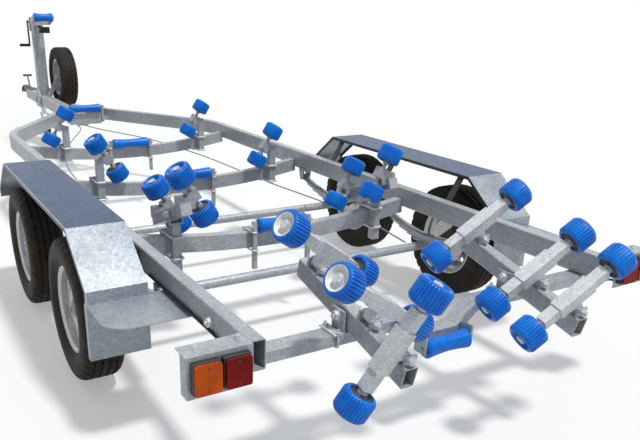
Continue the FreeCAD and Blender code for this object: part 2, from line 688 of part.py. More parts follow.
def mudguard():
    """The right arch with its turned-down lips, rear step plate, flap and stays."""
    outer = prism(guard_outline(0.0, GUARD_INNER_X), X_AXIS * (GUARD_OUTER_X - GUARD_INNER_X))
    x_span = GUARD_OUTER_X - GUARD_INNER_X - 2 * GUARD_SHEET
    below_sheet = prism(guard_outline(GUARD_SHEET, GUARD_INNER_X + GUARD_SHEET), X_AXIS * x_span)
    through = X_AXIS * (GUARD_OUTER_X - GUARD_INNER_X + 2)
    below_lip = prism(guard_outline(GUARD_LIP, GUARD_INNER_X - 1), through)
    arch = outer.cut(below_sheet).cut(below_lip)
    arch_rear = GUARD_FLAT_REAR - GUARD_SLOPE_RUN
    step = box((RAIL_OUTER_X, GUARD_OUTER_X), (STEP_REAR_Y, arch_rear + GUARD_LIP),
               (STEP_Z, STEP_Z + GUARD_SHEET))
    corner = [e for e in step.Edges if abs(e.CenterOfMass.x - GUARD_OUTER_X) < 0.1
              and abs(e.CenterOfMass.y - STEP_REAR_Y) < 0.1]
    step = step.makeFillet(STEP_CORNER, corner)
    flap_z = (FLAP_BOTTOM, STEP_Z)
    flap = box((GUARD_INNER_X, GUARD_OUTER_X), (arch_rear, arch_rear + GUARD_SHEET), flap_z)
    fold = box((GUARD_OUTER_X - GUARD_SHEET, GUARD_OUTER_X), (arch_rear, arch_rear + FLAP_RETURN), flap_z)
    stays = []
    for y in STAY_STATIONS:
        low = V(RAIL_OUTER_X + STAY_THICKNESS / 2, y, RAIL_TOP - RAIL_HEIGHT / 2 + 10)
        high = V(GUARD_INNER_X + STAY_REACH, y, GUARD_TOP - GUARD_SHEET)
        width = (y - STAY_WIDTH / 2, y + STAY_WIDTH / 2)
        foot = box((RAIL_OUTER_X, RAIL_OUTER_X + STAY_THICKNESS), width, (RAIL_BOTTOM + 20, RAIL_TOP - 20))
        head = box((GUARD_INNER_X, high.x + 10), width, (high.z - STAY_THICKNESS, high.z))
        head_end = high - Z_AXIS * (STAY_THICKNESS / 2)
        stays += [foot, head, bar_between(low, head_end, Y_AXIS, STAY_WIDTH, STAY_THICKNESS)]
    return fused([arch, step, flap, fold] + stays)


def mudguards():
    save("mudguards", both_sides(mudguard()))


def lamp_bracket():
    x_inner, x_outer = RAIL_OUTER_X + LAMP_SHEET, LAMP_PLATE_OUTER_X
    front_y = LAMP_PLATE_Y + LAMP_FLANGE
    back_y = LAMP_PLATE_Y - LAMP_SHEET
    plate = box((x_inner, x_outer), (back_y, LAMP_PLATE_Y), (LAMP_PLATE_BOTTOM, LAMP_PLATE_TOP))
    top = box((RAIL_OUTER_X, x_outer), (back_y, front_y), (RAIL_TOP, LAMP_PLATE_TOP))
    edge = box((x_outer - LAMP_SHEET, x_outer), (back_y, front_y - 35), (LAMP_PLATE_BOTTOM, LAMP_PLATE_TOP))
    lug = box((RAIL_OUTER_X, x_inner + 1), (back_y, front_y), (RAIL_BOTTOM + 15, LAMP_PLATE_TOP))
    return fused([plate, top, edge, lug])


def lamp(outer_x):
    """A lens body with rounded corners, standing off the back of its plate."""
    high = LAMP_PLATE_TOP - LAMP_TOP_MARGIN
    back = LAMP_PLATE_Y - LAMP_SHEET
    body = box((outer_x - LAMP_WIDTH, outer_x), (back - LAMP_DEPTH, back), (high - LAMP_HEIGHT, high))
    edges = [e for e in body.Edges if abs(abs(e.tangentAt(e.FirstParameter).y) - 1) < 0.01]
    return body.makeFillet(LAMP_CORNER, edges)


def lamps():
    save("lamp_brackets", both_sides(lamp_bracket()))
    outer_x = LAMP_PLATE_OUTER_X - LAMP_OUTER_MARGIN
    save("lamps_amber", both_sides(lamp(outer_x)))
    save("lamps_red", both_sides(lamp(outer_x - LAMP_WIDTH - LAMP_GAP)))


def keel_places():
    """Axis points of the five keel rollers, and the bottoms of their posts."""
    behind = MEMBER_WIDTH / 2 + CLAMP_PLATE + KEEL_POST_SIZE / 2
    places = [(V(0, KEEL_FRONT_Y, KEEL_FRONT_Z), KEEL_FRONT_POST_BOTTOM)]
    for station in MEMBER_STATIONS:
        places.append((V(0, station - behind, MEMBER_MIDDLE_TOP + KEEL_AXIS_ABOVE_MEMBER), KEEL_POST_BOTTOM))
    rear_y = REAR_MEMBER_Y - REAR_MEMBER_DEPTH / 2 - KEEL_END_RADIUS - KEEL_REAR_GAP
    places.append((V(0, rear_y, KEEL_REAR_Z), KEEL_REAR_Z - KEEL_REAR_PLATE_DROP))
    return places


def keel_bracket(axis_point, bottom):
    """Two upright bars with the roller's pin across them."""
    s = KEEL_POST_SIZE / 2
    reach = X_AXIS * (KEEL_POST_X + s)
    pieces = [rod(axis_point - reach, axis_point + reach, KEEL_PIN_RADIUS)]
    for x in (-KEEL_POST_X, KEEL_POST_X):
        pieces.append(box((x - s, x + s), (axis_point.y - s, axis_point.y + s),
                          (bottom, axis_point.z + KEEL_POST_ABOVE_AXIS)))
    return pieces


def member_keel_bracket(axis_point, bottom):
    """A keel bracket with its clamp plates on the cross-member in front of it."""
    front = axis_point.y + KEEL_POST_SIZE / 2
    plates = [clamp_plate(x, front, KEEL_CLAMP_SIZE) for x in (-KEEL_POST_X, KEEL_POST_X)]
    return fused(keel_bracket(axis_point, bottom) + plates)


def rail_inner_face_x(y):
    """Where the slanted rail's inner face crosses the station y."""
    slant = math.radians(RAIL_BEND_ANGLE)
    centre_x = RAIL_CENTRE_X - (y - RAIL_CORNER_Y) * math.tan(slant)
    return centre_x - RAIL_WIDTH / 2 / math.cos(slant)


def front_keel_bracket(axis_point, bottom):
    """A keel bracket between the slanted rails, with a lug from each bar to its rail."""
    pieces = keel_bracket(axis_point, bottom)
    back, front = axis_point.y - KEEL_POST_SIZE / 2, axis_point.y + KEEL_POST_SIZE / 2
    low, high = KEEL_LUG_Z
    outline = [V(KEEL_POST_X, back, low), V(rail_inner_face_x(back), back, low),
               V(rail_inner_face_x(front), front, low), V(KEEL_POST_X, front, low)]
    lug = prism(outline, Z_AXIS * (high - low))
    return fused(pieces + [lug, mirrored(lug)])


def rear_keel_plates(axis_point, bottom):
    """Two flat plates on the rear face of the dropped member, with the last keel roller's pin."""
    face_x = KEEL_REAR_LENGTH / 2 + SIDE_GAP
    reach = X_AXIS * (face_x + KEEL_REAR_PLATE + KEEL_PIN_END)
    pieces = [rod(axis_point - reach, axis_point + reach, KEEL_PIN_RADIUS)]
    top = RAIL_BOTTOM - REAR_MEMBER_DROP + KEEL_REAR_PLATE_DROP
    for side in (-1, 1):
        pieces.append(box((side * face_x, side * (face_x + KEEL_REAR_PLATE)),
                          (axis_point.y - KEEL_REAR_PLATE_DROP, REAR_MEMBER_Y - REAR_MEMBER_DEPTH / 2),
                          (bottom, top)))
    return fused(pieces)


def keel_brackets():
    places = keel_places()
    brackets = [member_keel_bracket(*place) for place in places[1:4]]
    brackets += [front_keel_bracket(*places[0]), rear_keel_plates(*places[4])]
    save("keel_brackets", Part.makeCompound(brackets))


def waisted_roller(centre, length, end_radius, waist_radius, pin_radius):
    half, c = length / 2, KEEL_END_CHAMFER
    shoulder, neck = half * 0.45, waist_radius + 2
    right = [(shoulder, neck), (half - c, end_radius), (half, end_radius - c), (half, pin_radius + RUN_GAP)]
    left = [(-a, r) for a, r in reversed(right)]
    return turned(left + [(0, waist_radius)] + right, centre)


def keel_rollers():
    lengths = [KEEL_ROLLER_LENGTH] * 4 + [KEEL_REAR_LENGTH]
    for index, (point, bottom) in enumerate(keel_places()):
        save("keel_roller_" + str(index + 1),
             waisted_roller(point, lengths[index], KEEL_END_RADIUS, KEEL_WAIST_RADIUS, KEEL_PIN_RADIUS))


def hull_roller(centre, outward, bore_radius):
    """A hull roller: chamfered edges and a recessed hub on its outward face."""
    half, r, c = ROLLER_WIDTH / 2, ROLLER_RADIUS, ROLLER_CHAMFER
    profile = [(-half, bore_radius), (-half, r - c), (-half + c, r), (half - c, r), (half, r - c),
               (half, ROLLER_RECESS_RADIUS), (half - ROLLER_RECESS_DEPTH, ROLLER_RECESS_RADIUS - 6),
               (half - ROLLER_RECESS_DEPTH, bore_radius)]
    return turned(profile, centre, outward)


def twin_direction(tilt, side, sign):
    """Unit vector along a twin's rod, to its outer roller: positive sign lifts the outer one."""
    angle = math.radians(tilt)
    return V(side * math.cos(angle), 0, sign * math.sin(angle))


def twin_rollers(centre, direction, spread):
    bore = ROLLER_ROD_RADIUS + RUN_GAP
    return Part.makeCompound([hull_roller(centre + direction * (end * spread / 2), direction * end, bore)
                              for end in (-1, 1)])


def roller_rod(centre, direction, spread):
    """The rod through a twin, with a nut in each roller's recess."""
    inner_face = spread / 2 + ROLLER_WIDTH / 2 - ROLLER_RECESS_DEPTH + SIDE_GAP
    reach = inner_face + NUT_LENGTH
    pieces = [rod(centre - direction * reach, centre + direction * reach, ROLLER_ROD_RADIUS)]
    collar = spread / 2 - ROLLER_WIDTH / 2 - SIDE_GAP
    for end in (-1, 1):
        out = direction * end
        pieces.append(rod(centre + out * inner_face, centre + out * reach, NUT_RADIUS))
        pieces.append(rod(centre + out * (collar - COLLAR_LENGTH), centre + out * collar, NUT_RADIUS))
    return pieces


def tilted_block(centre, direction, length, depth, height):
    up = direction.cross(Y_AXIS)
    corner = centre - direction * (length / 2) - Y_AXIS * (depth / 2) - up * (height / 2)
    far = corner + direction * length
    return prism([corner, far, far + up * height, corner + up * height], Y_AXIS * depth)


def post_y(station):
    """Where the posts stand: behind a cross-member, with a clamp plate between."""
    return station - MEMBER_WIDTH / 2 - CLAMP_PLATE - POST_SIZE / 2


def clamp_plate(x, y, size):
    """The plate between a bar whose front face is at y and the cross-member in front of it."""
    rise = (MEMBER_END_TOP - MEMBER_MIDDLE_TOP) * (x / RAIL_INNER_X) ** 2
    middle = MEMBER_MIDDLE_TOP + rise - MEMBER_HEIGHT / 2
    half = size / 2
    return box((x - half, x + half), (y, y + CLAMP_PLATE), (middle - half, middle + half))


def twin_post(row, side, sign):
    """A post clamped behind a cross-member, with the tilted block that holds the rod."""
    direction = twin_direction(TWIN_TILT, side, sign)
    y = post_y(TWIN_STATIONS[row])
    z = TWIN_Z[row]
    centre = V(side * TWIN_X, y, z)
    post_x = side * (TWIN_X + sign * TWIN_POST_OFFSET)
    s = POST_SIZE / 2
    post = box((post_x - s, post_x + s), (y - s, y + s), (TWIN_POST_BOTTOM, z))
    arm = box((side * TWIN_X, post_x), (y - s, y + s), (z - 24, z + 4))
    block = tilted_block(centre, direction, TWIN_BLOCK, TWIN_BLOCK_DEPTH, TWIN_BLOCK)
    plate = clamp_plate(post_x, y + s, CLAMP_HEIGHT)
    pieces = [post, arm, block, plate] + roller_rod(centre, direction, TWIN_SPREAD)
    return centre, direction, fused(pieces)


def rocker_post():
    """The post behind the third cross-member that carries a rocker on its pin."""
    y = post_y(MEMBER_STATIONS[2])
    s = POST_SIZE / 2
    across = (y - s, y + s)
    cheek = ROCKER_SIZE / 2 + SIDE_GAP
    outer = cheek + ROCKER_CHEEK
    neck_top = ROCKER_PIVOT_Z - ROCKER_SIZE / 2 - ROCKER_NECK_GAP
    saddle_low = neck_top - ROCKER_SADDLE
    post = box((ROCKER_X - s, ROCKER_X + s), across, (ROCKER_POST_BOTTOM, neck_top))
    saddle = box((ROCKER_X - outer, ROCKER_X + outer), across, (saddle_low, neck_top))
    pin = V(ROCKER_X, y, ROCKER_PIVOT_Z)
    reach = X_AXIS * (outer + ROCKER_PIN_END)
    pieces = [post, saddle, clamp_plate(ROCKER_X, y + s, CLAMP_HEIGHT),
              rod(pin - reach, pin + reach, ROCKER_PIN_RADIUS)]
    for side in (-1, 1):
        faces = (ROCKER_X + side * cheek, ROCKER_X + side * outer)
        pieces.append(box(faces, across, (saddle_low, ROCKER_PIVOT_Z + ROCKER_CHEEK_ABOVE_PIN)))
    return fused(pieces)


def post_rollers():
    """Front and middle twin rollers on their posts, and the stands of the rockers and cradles."""
    posts = []
    for row in TWIN_STATIONS:
        for side_name, side in SIDES.items():
            sign = FRONT_TWIN_TILT_SIGN[side] if row == "front" else 1
            centre, direction, post = twin_post(row, side, sign)
            posts.append(post)
            save("hull_rollers_" + row + "_" + side_name, twin_rollers(centre, direction, TWIN_SPREAD))
    for stand in (rocker_post(), cradle_pedestal()):
        posts += [stand, mirrored(stand)]
    save("roller_posts", Part.makeCompound(posts))


def rocker_frame():
    """Point of the rocker's pivot and the unit vectors along it (to the front) and up from it."""
    y = post_y(MEMBER_STATIONS[2])
    pitch = math.radians(ROCKER_PITCH)
    along = V(0, math.cos(pitch), -math.sin(pitch))
    up = V(0, math.sin(pitch), math.cos(pitch))
    return V(ROCKER_X, y, ROCKER_PIVOT_Z), along, up


def rockers():
    pivot, along, up = rocker_frame()
    half = ROCKER_SIZE / 2
    corner = pivot - along * ROCKER_REAR_REACH - X_AXIS * half - up * half
    far = corner + X_AXIS * ROCKER_SIZE
    outline = [corner, far, far + up * ROCKER_SIZE, corner + up * ROCKER_SIZE]
    tube = prism(outline, along * (ROCKER_FRONT_REACH + ROCKER_REAR_REACH))
    pieces = [tube]
    direction = twin_direction(ROCKER_TWIN_TILT, RIGHT, 1)
    twins = {"fore": ROCKER_FRONT_REACH - ROCKER_TWIN_INSET, "aft": ROCKER_TWIN_INSET - ROCKER_REAR_REACH}
    centres = {}
    for name, reach in twins.items():
        centre = pivot + along * reach + up * ROCKER_TWIN_RISE
        centre.x = ROCKER_TWIN_X
        centres[name] = centre
        s = TWIN_BLOCK_DEPTH / 2
        foot = pivot + along * reach
        riser = box((centre.x - 6, ROCKER_X + half), (centre.y - s, centre.y + s), (foot.z, centre.z))
        pieces += [riser, tilted_block(centre, direction, TWIN_BLOCK, TWIN_BLOCK_DEPTH, TWIN_BLOCK)]
        pieces += roller_rod(centre, direction, TWIN_SPREAD)
    bore = rod(pivot - X_AXIS * ROCKER_SIZE, pivot + X_AXIS * ROCKER_SIZE, ROCKER_PIN_RADIUS + RUN_GAP)
    rocker = fused(pieces).cut(bore)
    for side_name, side in SIDES.items():
        save("rocker_" + side_name, on_side(rocker, side))
        for name, centre in centres.items():
            rollers = twin_rollers(centre, direction, TWIN_SPREAD)
            save("rocker_rollers_" + name + "_" + side_name, on_side(rollers, side))


def pitched(shape):
    """A shape drawn on a level beam, pitched about the beam's pin."""
    shape.rotate(V(BEAM_X, REAR_MEMBER_Y, BEAM_PIVOT_Z), X_AXIS, BEAM_PITCH)
    return shape


def cradle_pedestal():
    """Two cheeks on the rear cross-member, with the beam's pin through them."""
    half, t = BEAM_CHEEK_WIDTH / 2, BEAM_CHEEK / 2
    inner = BEAM_WIDTH / 2 + BEAM_CHEEK_GAP
    pin = V(BEAM_X, REAR_MEMBER_Y, BEAM_PIVOT_Z)
    reach = X_AXIS * (inner + BEAM_CHEEK + BEAM_PIN_END)
    pieces = [rod(pin - reach, pin + reach, BEAM_PIN_RADIUS)]
    for side in (-1, 1):
        x = BEAM_X + side * (inner + t)
        pieces.append(box((x - t, x + t), (REAR_MEMBER_Y - half, REAR_MEMBER_Y + half),
                          (RAIL_BOTTOM, BEAM_PIVOT_Z + BEAM_CHEEK_ABOVE_PIN)))
    return fused(pieces)


def arm_pin(station):
    """The pin of an arm at a station along the beam, drawn on the level beam."""
    return V(BEAM_X, REAR_MEMBER_Y + station, BEAM_PIVOT_Z + BEAM_HEIGHT / 2 + ARM_PIN_ABOVE_BEAM)


def arm_ears(station):
    """Two ears on the beam's top, with an arm's pin through them."""
    pin = arm_pin(station)
    inner = ARM_SLEEVE_SIZE / 2 + SIDE_GAP
    reach = Y_AXIS * (inner + ARM_EAR + ARM_PIN_END)
    pieces = [rod(pin - reach, pin + reach, ARM_PIN_RADIUS)]
    foot_z = BEAM_PIVOT_Z + BEAM_HEIGHT / 2 - 1
    for end in (-1, 1):
        pieces.append(box((BEAM_X - ARM_EAR_WIDTH / 2, BEAM_X + ARM_EAR_WIDTH / 2),
                          (pin.y + end * inner, pin.y + end * (inner + ARM_EAR)),
                          (foot_z, pin.z + ARM_EAR_ABOVE_PIN)))
    return pieces


def cradle_beam():
    """An open rectangular tube with a pair of ears for each arm and a sleeve for its own pin."""
    wide, half = BEAM_WIDTH / 2, BEAM_HEIGHT / 2
    rear = V(BEAM_X, REAR_MEMBER_Y - BEAM_REAR_REACH, BEAM_PIVOT_Z)
    length = V(0, BEAM_FRONT_REACH + BEAM_REAR_REACH, 0)
    outer = rounded_section(rear, wide, half, BEAM_CORNER).extrude(length)
    inner = rounded_section(rear, wide - BEAM_WALL, half - BEAM_WALL, BEAM_CORNER - BEAM_WALL).extrude(length)
    pin, across = V(BEAM_X, REAR_MEMBER_Y, BEAM_PIVOT_Z), X_AXIS * wide
    pieces = [outer.cut(inner), rod(pin - across, pin + across, BEAM_PIN_RADIUS + BEAM_SLEEVE_WALL)]
    for station in ARM_STATIONS:
        pieces += arm_ears(station)
    bore = rod(pin - across * 2, pin + across * 2, BEAM_PIN_RADIUS + RUN_GAP)
    return pitched(fused(pieces).cut(bore))


def cradle_arm(station, tilt):
    """A rocking arm and its rollers, drawn level about the pin and then tilted, outer end up."""
    pin = arm_pin(station)
    centre = pin + Z_AXIS * ARM_RISE
    s, t = ARM_SLEEVE_SIZE / 2, ARM_TUBE_SIZE / 2
    sleeve = box((BEAM_X - ARM_SLEEVE_HALF, BEAM_X + ARM_SLEEVE_HALF), (pin.y - s, pin.y + s),
                 (centre.z - s, centre.z + s))
    tube = box((BEAM_X - ARM_TUBE_HALF, BEAM_X + ARM_TUBE_HALF), (pin.y - t, pin.y + t),
               (centre.z - t, centre.z + t))
    across = Y_AXIS * s
    foot_x = (BEAM_X - ARM_FOOT_RADIUS, BEAM_X + ARM_FOOT_RADIUS)
    foot = box(foot_x, (pin.y - s, pin.y + s), (pin.z, centre.z))
    round_foot = rod(pin - across, pin + across, ARM_FOOT_RADIUS)
    spread = 2 * ARM_ROLLER_REACH
    bore = rod(pin - across * 2, pin + across * 2, ARM_PIN_RADIUS + RUN_GAP)
    arm = fused([sleeve, tube, foot, round_foot] + roller_rod(centre, X_AXIS, spread)).cut(bore)
    rollers = twin_rollers(centre, X_AXIS, spread)
    for shape in (arm, rollers):
        shape.rotate(pin, Y_AXIS, -tilt)
    return pitched(arm), pitched(rollers)


def cradles():
    for side_name, side in SIDES.items():
        save("cradle_beam_" + side_name, on_side(cradle_beam(), side))
        for index, station in enumerate(ARM_STATIONS):
            arm, rollers = cradle_arm(station, ARM_TILTS[side][index])
            save("cradle_arm_" + str(index + 1) + "_" + side_name, on_side(arm, side))
            save("cradle_rollers_" + str(index + 1) + "_" + side_name, on_side(rollers, side))


def post_foot_plate(side):
    """The plate that holds the post to one side of the drawbar."""
    x = side * DRAWBAR_WIDTH / 2
    low, top = DRAWBAR_TOP - POST_FOOT_DROP, DRAWBAR_TOP + POST_FOOT_RISE
    back, front = WINCH_POST_Y - POST_FOOT_LENGTH / 2, WINCH_POST_Y + POST_FOOT_LENGTH / 2
    depth = WINCH_POST_DEPTH / 2
    outline = [V(x, back, low), V(x, front, low), V(x, front, DRAWBAR_TOP), V(x, WINCH_POST_Y + depth, top),
               V(x, WINCH_POST_Y - depth, top), V(x, back, DRAWBAR_TOP)]
    return prism(outline, X_AXIS * (side * POST_FOOT_PLATE))


def winch_post():
    """The upright tube, its clamp plates, the bow roller's forked neck and the winch cheeks."""
    half, depth = WINCH_POST_WIDTH / 2, WINCH_POST_DEPTH / 2
    back, front = WINCH_POST_Y - depth, WINCH_POST_Y + depth
    pieces = [box((-half, half), (back, front), (DRAWBAR_TOP, WINCH_POST_TOP))]
    arm_x = BOW_ROLLER_LENGTH / 2 + SIDE_GAP + BOW_ARM_PLATE / 2
    cheek_in = DRUM_LENGTH / 2 + SIDE_GAP
    cheek_out = cheek_in + WINCH_CHEEK
    cheek_z = (WINCH_POST_TOP - WINCH_CHEEK_HEIGHT, DRUM_Z + WINCH_CHEEK_MARGIN)
    half_arm, yoke = BOW_ARM_HEIGHT / 2, BOW_YOKE_PLATE / 2
    neck_foot = V(0, WINCH_POST_Y, WINCH_POST_TOP - half_arm)
    arm_end = V(0, BOW_ROLLER_Y - BOW_ARM_END, BOW_ROLLER_Z)
    share = (WINCH_POST_Y - BOW_YOKE_Y) / (neck_foot.y - arm_end.y)
    fork = neck_foot + (arm_end - neck_foot) * share
    pieces.append(bar_between(neck_foot, fork, X_AXIS, BOW_NECK_WIDTH, BOW_ARM_HEIGHT))
    for side in (-1, 1):
        pieces.append(post_foot_plate(side))
        aside = X_AXIS * (side * arm_x)
        pieces.append(bar_between(fork + aside, arm_end + aside, X_AXIS, BOW_ARM_PLATE, BOW_ARM_HEIGHT))
        cheek_x = (side * cheek_in, side * cheek_out)
        pieces.append(box(cheek_x, (front, DRUM_Y + WINCH_CHEEK_MARGIN), cheek_z))
    spread = arm_x + BOW_ARM_PLATE / 2
    yoke_z = (fork.z - half_arm, fork.z + half_arm)
    pieces.append(box((-spread, spread), (fork.y - yoke, fork.y + yoke), yoke_z))
    pin = V(0, BOW_ROLLER_Y, BOW_ROLLER_Z)
    reach = X_AXIS * (spread + BOW_PIN_END)
    pieces.append(rod(pin - reach, pin + reach, BOW_PIN_RADIUS))
    stop_w, stop_d, stop_h = BOW_STOP_SIZE
    stop_y = (BOW_ROLLER_Y - stop_d / 2, BOW_ROLLER_Y + stop_d / 2)
    half_bar = BOW_STOP_BAR / 2
    bar_z = (BOW_STOP_Z - half_bar, BOW_STOP_Z + half_bar)
    pieces.append(box((-half_bar, half_bar), (stop_y[1], back), bar_z))
    drum, through = V(0, DRUM_Y, DRUM_Z), X_AXIS * (cheek_out + SIDE_GAP)
    bore = rod(drum - through, drum + through, DRUM_SHAFT_RADIUS + RUN_GAP)
    save("winch_post", fused(pieces).cut(bore))
    stop_z = (BOW_STOP_Z - stop_h / 2, BOW_STOP_Z + stop_h / 2)
    save("bow_stop", box((-stop_w / 2, stop_w / 2), stop_y, stop_z))


def bow_roller():
    centre = V(0, BOW_ROLLER_Y, BOW_ROLLER_Z)
    roller = waisted_roller(centre, BOW_ROLLER_LENGTH, BOW_ROLLER_RADIUS, BOW_ROLLER_WAIST, BOW_PIN_RADIUS)
    save("bow_roller", roller)


def winch_drum():
    """Flanged drum, shaft and hand crank in one piece, turning in the cheeks."""
    centre = V(0, DRUM_Y, DRUM_Z)
    half, flange = DRUM_LENGTH / 2, DRUM_FLANGE
    right = [(half - flange, DRUM_CORE_RADIUS), (half - flange, DRUM_RADIUS), (half, DRUM_RADIUS), (half, 0)]
    spool = [(-a, r) for a, r in reversed(right)] + right
    shaft_right = half + SIDE_GAP + WINCH_CHEEK + DRUM_SHAFT_END
    crank_hub = V(CRANK_X, DRUM_Y, DRUM_Z)
    shaft = rod(crank_hub, centre + X_AXIS * shaft_right, DRUM_SHAFT_RADIUS)
    thick, wide = CRANK_BAR / 2, CRANK_BAR_WIDTH / 2
    crank = box((CRANK_X - thick, CRANK_X + thick), (DRUM_Y - wide, DRUM_Y + wide),
                (DRUM_Z - CRANK_LENGTH, DRUM_Z + CRANK_END))
    grip_foot = crank_hub - Z_AXIS * (CRANK_LENGTH - CRANK_GRIP_RADIUS)
    grip = rod(grip_foot - X_AXIS * (thick + CRANK_GRIP_LENGTH), grip_foot, CRANK_GRIP_RADIUS)
    save("winch_drum", fused([turned(spool, centre), shaft, crank, grip]))


def coupling():
    """Ball coupling with its socket, neck, mounting plate and hand brake lever."""
    low, high, r = COUPLING_BASE_Z, COUPLING_HEAD_HEIGHT, COUPLING_HEAD_RADIUS
    profile = [(0, 0), (0, r), (0.55 * high, r), (0.83 * high, 0.7 * r), (high, 0.38 * r), (high, 0)]
    head = turned(profile, V(0, COUPLING_Y, low), Z_AXIS)
    front, t = DRAWBAR_FRONT_Y, COUPLING_PLATE
    neck_half = COUPLING_NECK_WIDTH / 2
    neck = box((-neck_half, neck_half), (front, COUPLING_Y - r / 2), (low + t, DRAWBAR_TOP + t))
    base_half = COUPLING_PLATE_WIDTH / 2
    base_z = (DRAWBAR_TOP, DRAWBAR_TOP + t)
    base = box((-base_half, base_half), (front - COUPLING_PLATE_LENGTH, front + t), base_z)
    cap_half = DRAWBAR_WIDTH / 2
    cap = box((-cap_half, cap_half), (front, front + t), (DRAWBAR_BOTTOM, DRAWBAR_TOP))
    lever_foot = V(0, front + LEVER_FOOT, DRAWBAR_TOP)
    lever_head = V(0, *LEVER_TOP)
    lever = bar_between(lever_foot, lever_head, X_AXIS, LEVER_THICKNESS, LEVER_WIDTH)
    grip = X_AXIS * LEVER_GRIP_HALF
    handle = rod(lever_head - grip, lever_head + grip, LEVER_RADIUS)
    ball_top = V(0, COUPLING_Y, low + COUPLING_SOCKET_DEPTH)
    socket = rod(V(0, COUPLING_Y, low - 1), ball_top, COUPLING_BALL_RADIUS)
    save("coupling", fused([head, neck, base, cap, lever, handle]).cut(socket))


def jockey_sleeve():
    """Outer tube with its clamp on the drawbar's side, and the crank on its top."""
    low, top = V(JOCKEY_X, JOCKEY_Y, JOCKEY_TUBE_BOTTOM), V(JOCKEY_X, JOCKEY_Y, JOCKEY_TUBE_TOP)
    clamp_z = (DRAWBAR_BOTTOM + JOCKEY_CLAMP_INSET, DRAWBAR_TOP - JOCKEY_CLAMP_INSET)
    half = JOCKEY_CLAMP_HALF
    clamp = box((DRAWBAR_WIDTH / 2, JOCKEY_X), (JOCKEY_Y - half, JOCKEY_Y + half), clamp_z)
    ring = rod(V(JOCKEY_X, JOCKEY_Y, clamp_z[0]), V(JOCKEY_X, JOCKEY_Y, clamp_z[1]), JOCKEY_RING_RADIUS)
    hub = V(JOCKEY_X, JOCKEY_Y, JOCKEY_HANDLE_Z)
    up = Z_AXIS * JOCKEY_CRANK_THICKNESS
    spindle = rod(top - up, hub + up, JOCKEY_PIN_RADIUS)
    knob_foot = hub + V(*JOCKEY_CRANK_REACH)
    crank = bar_between(hub, knob_foot, Z_AXIS, JOCKEY_CRANK_WIDTH, JOCKEY_CRANK_THICKNESS)
    knob = rod(knob_foot - up, knob_foot + Z_AXIS * JOCKEY_KNOB_LENGTH, JOCKEY_KNOB_RADIUS)
    sleeve = fused([rod(low, top, JOCKEY_TUBE_RADIUS), clamp, ring, spindle, crank, knob])
    bore_top = V(JOCKEY_X, JOCKEY_Y, JOCKEY_LEG_TOP + JOCKEY_LIFT)
    return sleeve.cut(rod(low - Z_AXIS, bore_top, JOCKEY_LEG_RADIUS + RUN_GAP))


def jockey_leg():
    """The sliding leg with the pin that the fork turns on."""
    low = V(JOCKEY_X, JOCKEY_Y, JOCKEY_LEG_BOTTOM)
    leg = rod(low, V(JOCKEY_X, JOCKEY_Y, JOCKEY_LEG_TOP), JOCKEY_LEG_RADIUS)
    return leg.fuse(rod(low - Z_AXIS * (JOCKEY_CROWN - 2), low, JOCKEY_PIN_RADIUS))


def jockey_fork(wheel_centre):
    """Crown, two tapered plates and the wheel's pin."""
    inner = JOCKEY_WHEEL_WIDTH / 2 + JOCKEY_SIDE_GAP
    outer = inner + JOCKEY_FORK_PLATE
    top = JOCKEY_LEG_BOTTOM - SEAT_GAP
    crown_front, crown_back = JOCKEY_Y + JOCKEY_CROWN_REACH, wheel_centre.y - JOCKEY_CROWN_REACH
    pieces = [box((JOCKEY_X - outer, JOCKEY_X + outer), (crown_back, crown_front), (top - JOCKEY_CROWN, top))]
    foot_z = wheel_centre.z - JOCKEY_FORK_FOOT
    for side in (-1, 1):
        x = JOCKEY_X + side * inner
        outline = [V(x, crown_front, top), V(x, wheel_centre.y + JOCKEY_FORK_FOOT, foot_z),
                   V(x, wheel_centre.y - JOCKEY_FORK_FOOT, foot_z), V(x, crown_back, top)]
        pieces.append(prism(outline, X_AXIS * (side * JOCKEY_FORK_PLATE)))
    reach = X_AXIS * (outer + JOCKEY_AXLE_RADIUS)
    pieces.append(rod(wheel_centre - reach, wheel_centre + reach, JOCKEY_AXLE_RADIUS))
    leg_low = V(JOCKEY_X, JOCKEY_Y, JOCKEY_LEG_BOTTOM)
    bore = rod(leg_low - Z_AXIS * (JOCKEY_CROWN + 2), leg_low + Z_AXIS, JOCKEY_PIN_RADIUS + RUN_GAP)
    return fused(pieces).cut(bore)


def jockey_wheel(wheel_centre):
    """Solid rubber wheel with dished sides."""
    half, r, bore = JOCKEY_WHEEL_WIDTH / 2, JOCKEY_WHEEL_RADIUS, JOCKEY_AXLE_RADIUS + RUN_GAP
    right = [(half - 14, r), (half - 3, r - 10), (half - 3, r - 26), (half - 12, r - 34), (half - 12, 30),
             (half, 26), (half, bore)]
    left = [(-a, radius) for a, radius in reversed(right)]
    return turned(left + right, wheel_centre)


def jockey():
    wheel_centre = V(JOCKEY_X, JOCKEY_Y - JOCKEY_TRAIL, JOCKEY_WHEEL_RADIUS)
    save("jockey_sleeve", jockey_sleeve())
    save("jockey_leg", jockey_leg())
    save("jockey_fork", jockey_fork(wheel_centre))
    save("jockey_wheel", jockey_wheel(wheel_centre))


def build():
    os.makedirs("parts", exist_ok=True)
    side_rails()
    drawbar()
    cross_members()
    axles()
    leaf_springs()
    brake_calipers()
    road_wheels()
    spare_wheel()
    mudguards()
    lamps()
    keel_brackets()
    keel_rollers()
    post_rollers()
    rockers()
    cradles()
    winch_post()
    bow_roller()
    winch_drum()
    coupling()
    jockey()


build()
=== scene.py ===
import json
import math

import bmesh
import bpy
from mathutils import Matrix, Vector

